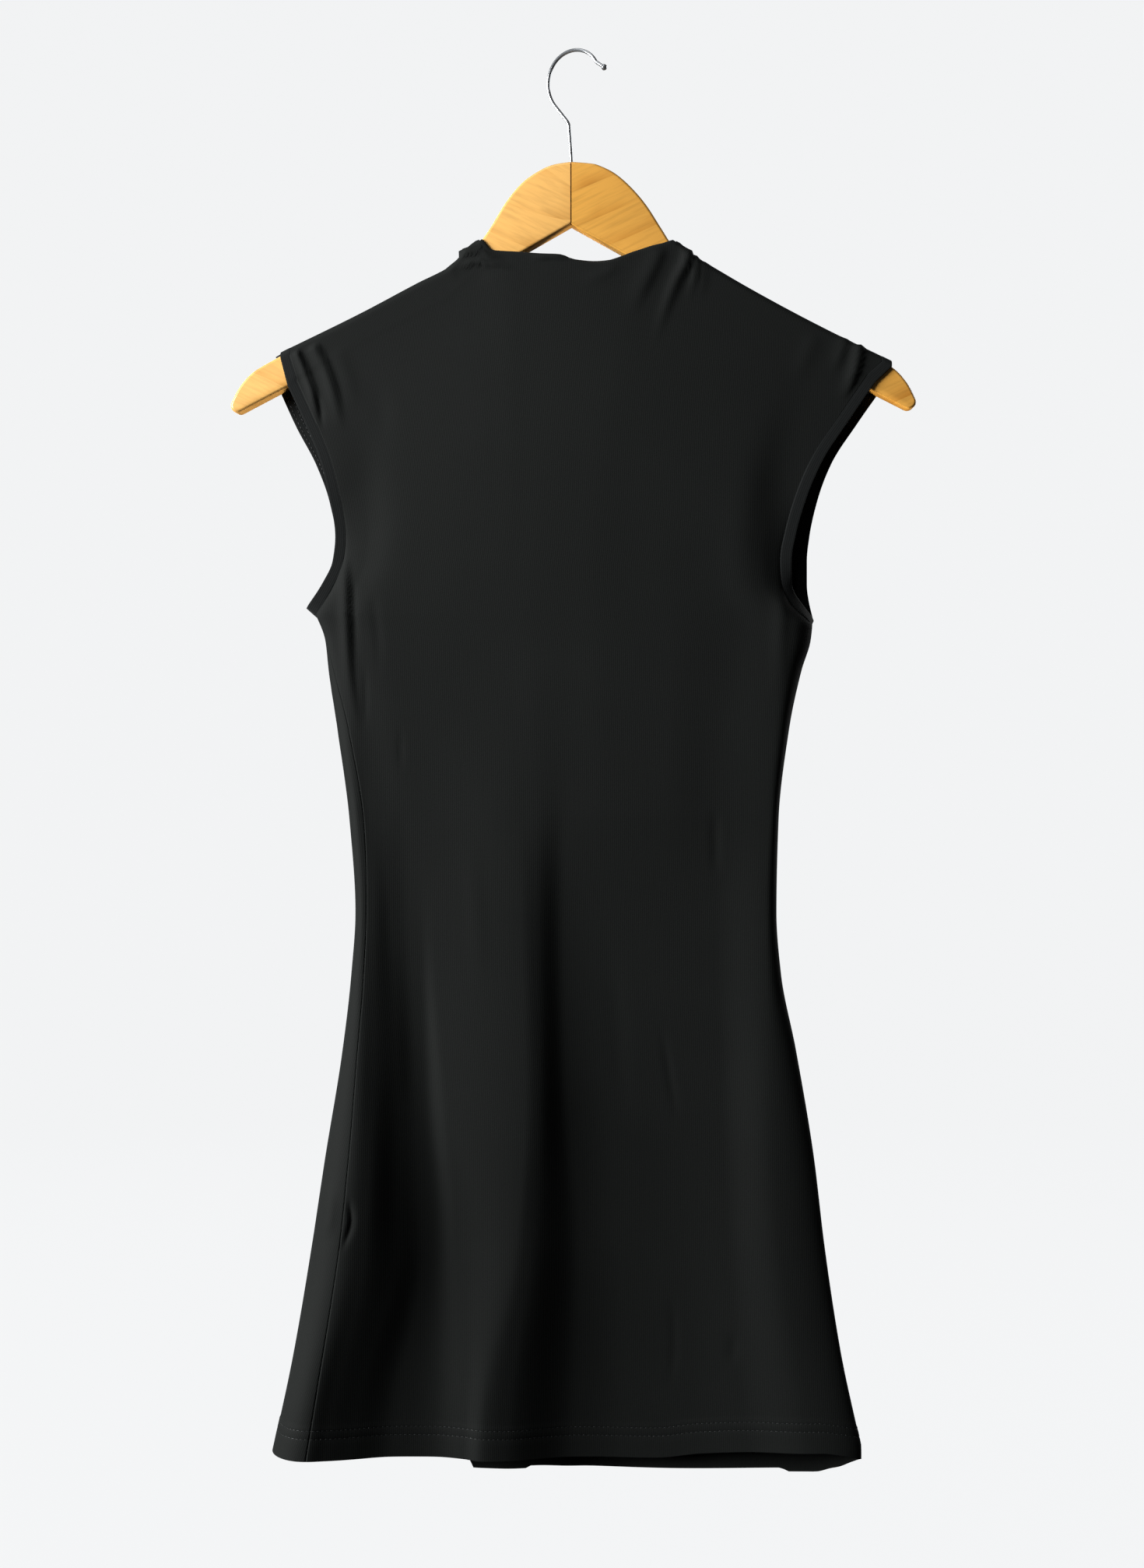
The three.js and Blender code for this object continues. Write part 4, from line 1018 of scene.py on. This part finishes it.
def arm_outline(hand):
    turn = np.radians(np.linspace(NOSE["start"], NOSE["end"], 13))
    nose = np.stack([NOSE["x"] + NOSE["radius"] * np.cos(turn), NOSE["z"] + NOSE["radius"] * np.sin(turn)], 1)
    shoulder = through([*ARM_SHOULDER, tuple(nose[0])], 34)
    dome = through(ARM_DOME[hand], 40)
    ends = [UNDERSIDE, [0, APEX], [-BEYOND_MITRE, APEX]]
    return np.concatenate([[[-BEYOND_MITRE, DOME_TOP]], dome, shoulder, nose[1:], ends])


print("arm outline", len(arm_outline("left")), "corners")

# %% Arms


def select_only(piece):
    bpy.ops.object.select_all(action="DESELECT")
    piece.select_set(True)
    bpy.context.view_layer.objects.active = piece


def hanger_arm(name, hand):
    """One half of the hanger: extruded, rounded, cut at the mitre and swept back."""
    outward = -1 if hand == "left" else 1
    outline = arm_outline(hand)
    bpy.ops.mesh.primitive_circle_add(vertices=len(outline), radius=0.1, fill_type="NGON")
    arm = bpy.context.object
    arm.name = arm.data.name = name
    for corner, (x, z) in zip(arm.data.vertices, outline):
        corner.co = (x * MM, -ARM_THICKNESS / 2 * MM, z * MM)
    edit_all()
    bpy.ops.mesh.extrude_region_move(TRANSFORM_OT_translate={"value": (0, ARM_THICKNESS * MM, 0)})
    bpy.ops.mesh.select_all(action="SELECT")
    bpy.ops.mesh.normals_make_consistent(inside=False)
    bpy.ops.object.mode_set(mode="OBJECT")
    bevel = arm.modifiers.new("rounded edges", "BEVEL")
    bevel.width = ARM_ROUNDING * MM
    bevel.segments = 5
    bevel.limit_method = "ANGLE"
    bevel.angle_limit = math.radians(55)
    bevel.use_clamp_overlap = False
    bpy.ops.object.modifier_apply(modifier=bevel.name)
    edit_all()
    bpy.ops.mesh.bisect(plane_co=(HALF_JOINT * MM, 0, 0), plane_no=(1, 0, 0), use_fill=True, clear_inner=True)
    bpy.ops.object.mode_set(mode="OBJECT")
    turn = outward * ARM_SWEEP[hand]
    for corner in arm.data.vertices:
        x = outward * corner.co.x
        y = corner.co.y
        corner.co.x = x * math.cos(turn) - y * math.sin(turn) + STEM[0] * MM
        corner.co.y = x * math.sin(turn) + y * math.cos(turn) + STEM[1] * MM
    edit_all()
    bpy.ops.mesh.normals_make_consistent(inside=False)
    bpy.ops.object.mode_set(mode="OBJECT")
    bpy.ops.object.shade_smooth_by_angle(angle=math.radians(35))
    print(name, len(arm.data.polygons), "faces")
    return arm


arm_left = hanger_arm("hanger_half_left", "left")
arm_right = hanger_arm("hanger_half_right", "right")

# %% [markdown]
# ## The hook
# The hook is one length of wire, bent on pins. Its bending table says how far the wire runs
# straight before each bend, the bend's radius and its angle. The round section is extruded along
# each straight and spun round each bend, as a wire bender would do it.

# %% Bending table
WIRE = 2.3
LOOP_TURN = math.radians(-20)
BENDS = [
    {"straight": 22.0, "radius": 50, "turn": 4.5, "steps": 4},
    {"straight": 18.0, "radius": 8, "turn": 33, "steps": 8},
    {"straight": 13.0, "radius": 24, "turn": -65, "steps": 18},
    {"straight": 0, "radius": 17.5, "turn": -62.5, "steps": 20},
    {"straight": 0, "radius": 16.5, "turn": -62, "steps": 20},
    {"straight": 0, "radius": 3.0, "turn": 25, "steps": 6},
    {"straight": 6.2, "radius": 0, "turn": 0, "steps": 0},
]
STEM_OFFSET = 2.23             # from the loop's top to the stem
WIRE_START = (-STEM_OFFSET, -92.34)
LOOP_PLACE = (STEM[0] + STEM_OFFSET * math.cos(LOOP_TURN), STEM[1] + STEM_OFFSET * math.sin(LOOP_TURN))
BALL_RADIUS = 2.0


def bent_wire(name):
    """The wire in the loop's own plane, then turned on its stem."""
    x, z = WIRE_START
    start = (x * MM, 0, z * MM)
    bpy.ops.mesh.primitive_circle_add(vertices=16, radius=WIRE / 2 * MM, fill_type="NGON", location=start)
    wire = bpy.context.object
    wire.name = wire.data.name = name
    bpy.ops.object.transform_apply(location=True)
    edit_all()
    heading = math.pi / 2
    for bend in BENDS:
        if bend["straight"]:
            move = (bend["straight"] * math.cos(heading) * MM, 0, bend["straight"] * math.sin(heading) * MM)
            bpy.ops.mesh.extrude_region_move(TRANSFORM_OT_translate={"value": move})
            x += bend["straight"] * math.cos(heading)
            z += bend["straight"] * math.sin(heading)
        if bend["turn"]:
            turn = math.radians(bend["turn"])
            to_centre = heading + math.copysign(math.pi / 2, turn)
            centre = (x + bend["radius"] * math.cos(to_centre), z + bend["radius"] * math.sin(to_centre))
            pin = (centre[0] * MM, 0, centre[1] * MM)
            bpy.ops.mesh.spin(steps=bend["steps"], angle=turn, center=pin, axis=(0, 1, 0))
            x, z = (
                centre[0] + (x - centre[0]) * math.cos(turn) - (z - centre[1]) * math.sin(turn),
                centre[1] + (x - centre[0]) * math.sin(turn) + (z - centre[1]) * math.cos(turn),
            )
            heading += turn
    end = (x * MM, 0, z * MM)
    bpy.ops.mesh.primitive_uv_sphere_add(segments=20, ring_count=12, radius=BALL_RADIUS * MM, location=end)
    bpy.ops.mesh.select_all(action="SELECT")
    bpy.ops.mesh.remove_doubles(threshold=1e-6)
    bpy.ops.mesh.normals_make_consistent(inside=False)
    bpy.ops.object.mode_set(mode="OBJECT")
    for corner in wire.data.vertices:
        x_turned = corner.co.x * math.cos(LOOP_TURN) - corner.co.y * math.sin(LOOP_TURN)
        y_turned = corner.co.x * math.sin(LOOP_TURN) + corner.co.y * math.cos(LOOP_TURN)
        corner.co = (x_turned + LOOP_PLACE[0] * MM, y_turned + LOOP_PLACE[1] * MM, corner.co.z)
    print(name, "ends at", round(x, 2), round(z, 2), "mm in its own plane")
    return wire


hook = bent_wire("wire_hook")
select_only(hook)
bpy.ops.object.shade_smooth_by_angle(angle=math.radians(50))

# %% [markdown]
# ## Black stretch jersey
# Single jersey of viscose and elastane, knitted on a circular machine and dyed black. Its face is a
# field of tiny V-shaped loops in upright lines called wales, with about 14 wales to the centimetre.
# It takes in nearly all light, and the fuzz of fine fibres gives a faint grey bloom where it is
# seen at a slant.

# %% Jersey
WALE_MM = 1.3      # real wales are about 0.7 mm apart, drawn coarser so that they show at all


def jersey(name, colour, bloom):
    """Knitted cloth. bloom is the weight of the grey sheen of its fibres."""
    material = new_material(name, {
        "Roughness": 0.78, "Specular IOR Level": 0.12,
        "Sheen Weight": bloom, "Sheen Roughness": 0.5, "Sheen Tint": linear("c8cdd0"),
    })
    tree = material.node_tree
    shader = tree.nodes["Principled BSDF"]
    uv = add(tree, "ShaderNodeUVMap", uv_map="cloth")
    # The upright lines of loops, a little uneven.
    per_metre = (1000 / WALE_MM, 1000 / WALE_MM, 1)
    wales = add(tree, "ShaderNodeMapping", {"Vector": uv.outputs[0], "Scale": per_metre})
    knit = add(tree, "ShaderNodeTexWave", {"Vector": wales.outputs[0], "Scale": 0.318, "Distortion": 1.2,
                                           "Detail": 2.0, "Detail Scale": 1.5}, bands_direction="X")
    # Dye and pressing leave slightly paler and darker places.
    places = add(tree, "ShaderNodeTexNoise", {"Vector": uv.outputs[0], "Scale": 9.0, "Detail": 4.0})
    fibres = add(tree, "ShaderNodeTexNoise", {"Vector": uv.outputs[0], "Scale": 900.0, "Detail": 3.0})
    shade = add(tree, "ShaderNodeMapRange", {"Value": places.outputs[0], 1: 0.3, 2: 0.7, 3: 0.92, 4: 1.08})
    grain = add(tree, "ShaderNodeMapRange", {"Value": fibres.outputs[0], 1: 0.3, 2: 0.7, 3: 0.9, 4: 1.1})
    both = add(tree, "ShaderNodeMath", {0: shade.outputs[0], 1: grain.outputs[0]}, operation="MULTIPLY")
    black = add(tree, "ShaderNodeVectorMath", {0: linear(colour)[:3], "Scale": both.outputs[0]},
                operation="SCALE")
    tree.links.new(black.outputs[0], shader.inputs["Base Color"])
    bumpy = add(tree, "ShaderNodeMath", {0: knit.outputs["Fac"], 1: fibres.outputs[0]}, operation="ADD")
    bump = add(tree, "ShaderNodeBump", {"Height": bumpy.outputs[0], "Strength": 0.12, "Distance": 0.0004})
    tree.links.new(bump.outputs[0], shader.inputs["Normal"])
    return material


cloth_black = jersey("black viscose jersey, single knit", "151716", 0.03)
band_black = jersey("black viscose jersey, folded binding", "171919", 0.04)
for piece in (front, back):
    piece.data.materials.append(cloth_black)
for piece in (left_band, right_band):
    piece.data.materials.append(band_black)

thread = new_material("black polyester thread, twisted", {"Base Color": linear("181b1c"), "Roughness": 0.45})
for piece in (hem_stitches, left_stitches, right_stitches):
    piece.data.materials.append(thread)
print("jersey on", front.name, "and", back.name)

# %% [markdown]
# ## Lacquered wood
# A pale hardwood under honey-coloured lacquer. The board is sawn from near the outside of the trunk,
# so its growth rings come out as long arches along the arm.

# %% Honey lacquer
# Pale wood and dark ring of each board, the middle of its rings, and how far they are drawn out.
WOOD_TONES = {"left": ("efb764", "c98d3e"), "right": ("f8b652", "cf862c")}
HEARTWOOD = {"left": ((-0.035, 0.0, -0.093), 5.0), "right": ((0.3, 0.03, 0.02), 9.0)}


def honey_wood(name, hand):
    """Lacquered wood whose grain runs along one half of the hanger."""
    outward = -1 if hand == "left" else 1
    material = new_material(name, {"Roughness": 0.42, "Coat Weight": 0.5, "Coat Roughness": 0.12})
    tree = material.node_tree
    shader = tree.nodes["Principled BSDF"]
    coordinates = add(tree, "ShaderNodeTexCoord")
    board = add(tree, "ShaderNodeMapping", {"Vector": coordinates.outputs["Object"],
                                            "Rotation": (0, -outward * ARM_SLOPE, 0)}, vector_type="TEXTURE")
    # Growth rings, cut at a slant: long thin lines, unevenly spaced, that close in an arch.
    heart, length = HEARTWOOD[hand]
    drawn_out = add(tree, "ShaderNodeMapping", {"Vector": board.outputs[0], "Location": heart,
                                                "Scale": (length, 1.0, 1.0)}, vector_type="TEXTURE")
    rings = add(tree, "ShaderNodeTexWave", {"Vector": drawn_out.outputs[0], "Scale": 17.0, "Distortion": 2.6,
                                            "Detail": 3.0, "Detail Scale": 0.9, "Detail Roughness": 0.6},
                wave_type="RINGS", rings_direction="Y", wave_profile="SAW")
    patches = add(tree, "ShaderNodeTexNoise", {"Vector": board.outputs[0], "Scale": 24.0, "Detail": 2.0})
    pores = add(tree, "ShaderNodeMapping", {"Vector": board.outputs[0], "Scale": (30.0, 500.0, 500.0)})
    fleck = add(tree, "ShaderNodeTexNoise", {"Vector": pores.outputs[0], "Scale": 1.0, "Detail": 3.0})
    faint = add(tree, "ShaderNodeMath", {0: rings.outputs["Fac"], 1: patches.outputs[0]},
                operation="MULTIPLY")
    ramp = add(tree, "ShaderNodeValToRGB", {"Fac": faint.outputs[0]})
    for stop, tone, place in zip(ramp.color_ramp.elements, WOOD_TONES[hand], (0.3, 0.75)):
        stop.color = linear(tone)
        stop.position = place
    dark = add(tree, "ShaderNodeMapRange", {"Value": fleck.outputs[0], 1: 0.45, 2: 0.75, 3: 1.0, 4: 0.82})
    wood = add(tree, "ShaderNodeVectorMath", {0: ramp.outputs[0], "Scale": dark.outputs[0]},
               operation="SCALE")
    tree.links.new(wood.outputs[0], shader.inputs["Base Color"])
    bump = add(tree, "ShaderNodeBump", {"Height": fleck.outputs[0], "Strength": 0.1, "Distance": 0.0002})
    tree.links.new(bump.outputs[0], shader.inputs["Normal"])
    return material


arm_left.data.materials.append(honey_wood("honey-lacquered hardwood, left board", "left"))
arm_right.data.materials.append(honey_wood("honey-lacquered hardwood, right board", "right"))

# %% [markdown]
# ## Bright wire
# Drawn steel wire, nickel plated. The plating is bright but not quite a mirror: its drawing lines
# are too fine to model, so they are only in its roughness.

# %% Nickel
nickel = new_material("bright nickel-plated steel wire", {
    "Base Color": linear("b0b4b8"), "Metallic": 0.75, "Roughness": 0.16,
})
hook.data.materials.append(nickel)
print("nickel on", hook.name)

# %% [markdown]
# ## Tie the pieces to the frame
# Each piece rides on the one rigid body and stands in for its plainer
# construction node.

# %% Riding on the body
def tiles(face):
    """The sixteen construction nodes that make up one panel."""
    heights = ("yoke", "waist", "hips", "skirt")
    hands = ("left", "mid_left", "mid_right", "right")
    return [f"{face}_{height}_{hand}" for height in heights for hand in hands]


PIECES = [
    (front, tiles("front"), "black_jersey"),
    (back, tiles("back"), "black_jersey"),
    (left_band, ["armhole_band_left"], "black_jersey"),
    (right_band, ["armhole_band_right"], "black_jersey"),
    (arm_left, ["hanger_arm_left"], "lacquered_wood"),
    (arm_right, ["hanger_arm_right"], "lacquered_wood"),
    (hook, ["hook"], "bright_wire"),
    (hem_stitches, [], "black_jersey"),
    (left_stitches, [], "black_jersey"),
    (right_stitches, [], "black_jersey"),
]
for piece, nodes, finish in PIECES:
    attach(piece, "root")
    if nodes:
        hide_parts(*nodes)

print("pieces", len(PIECES))
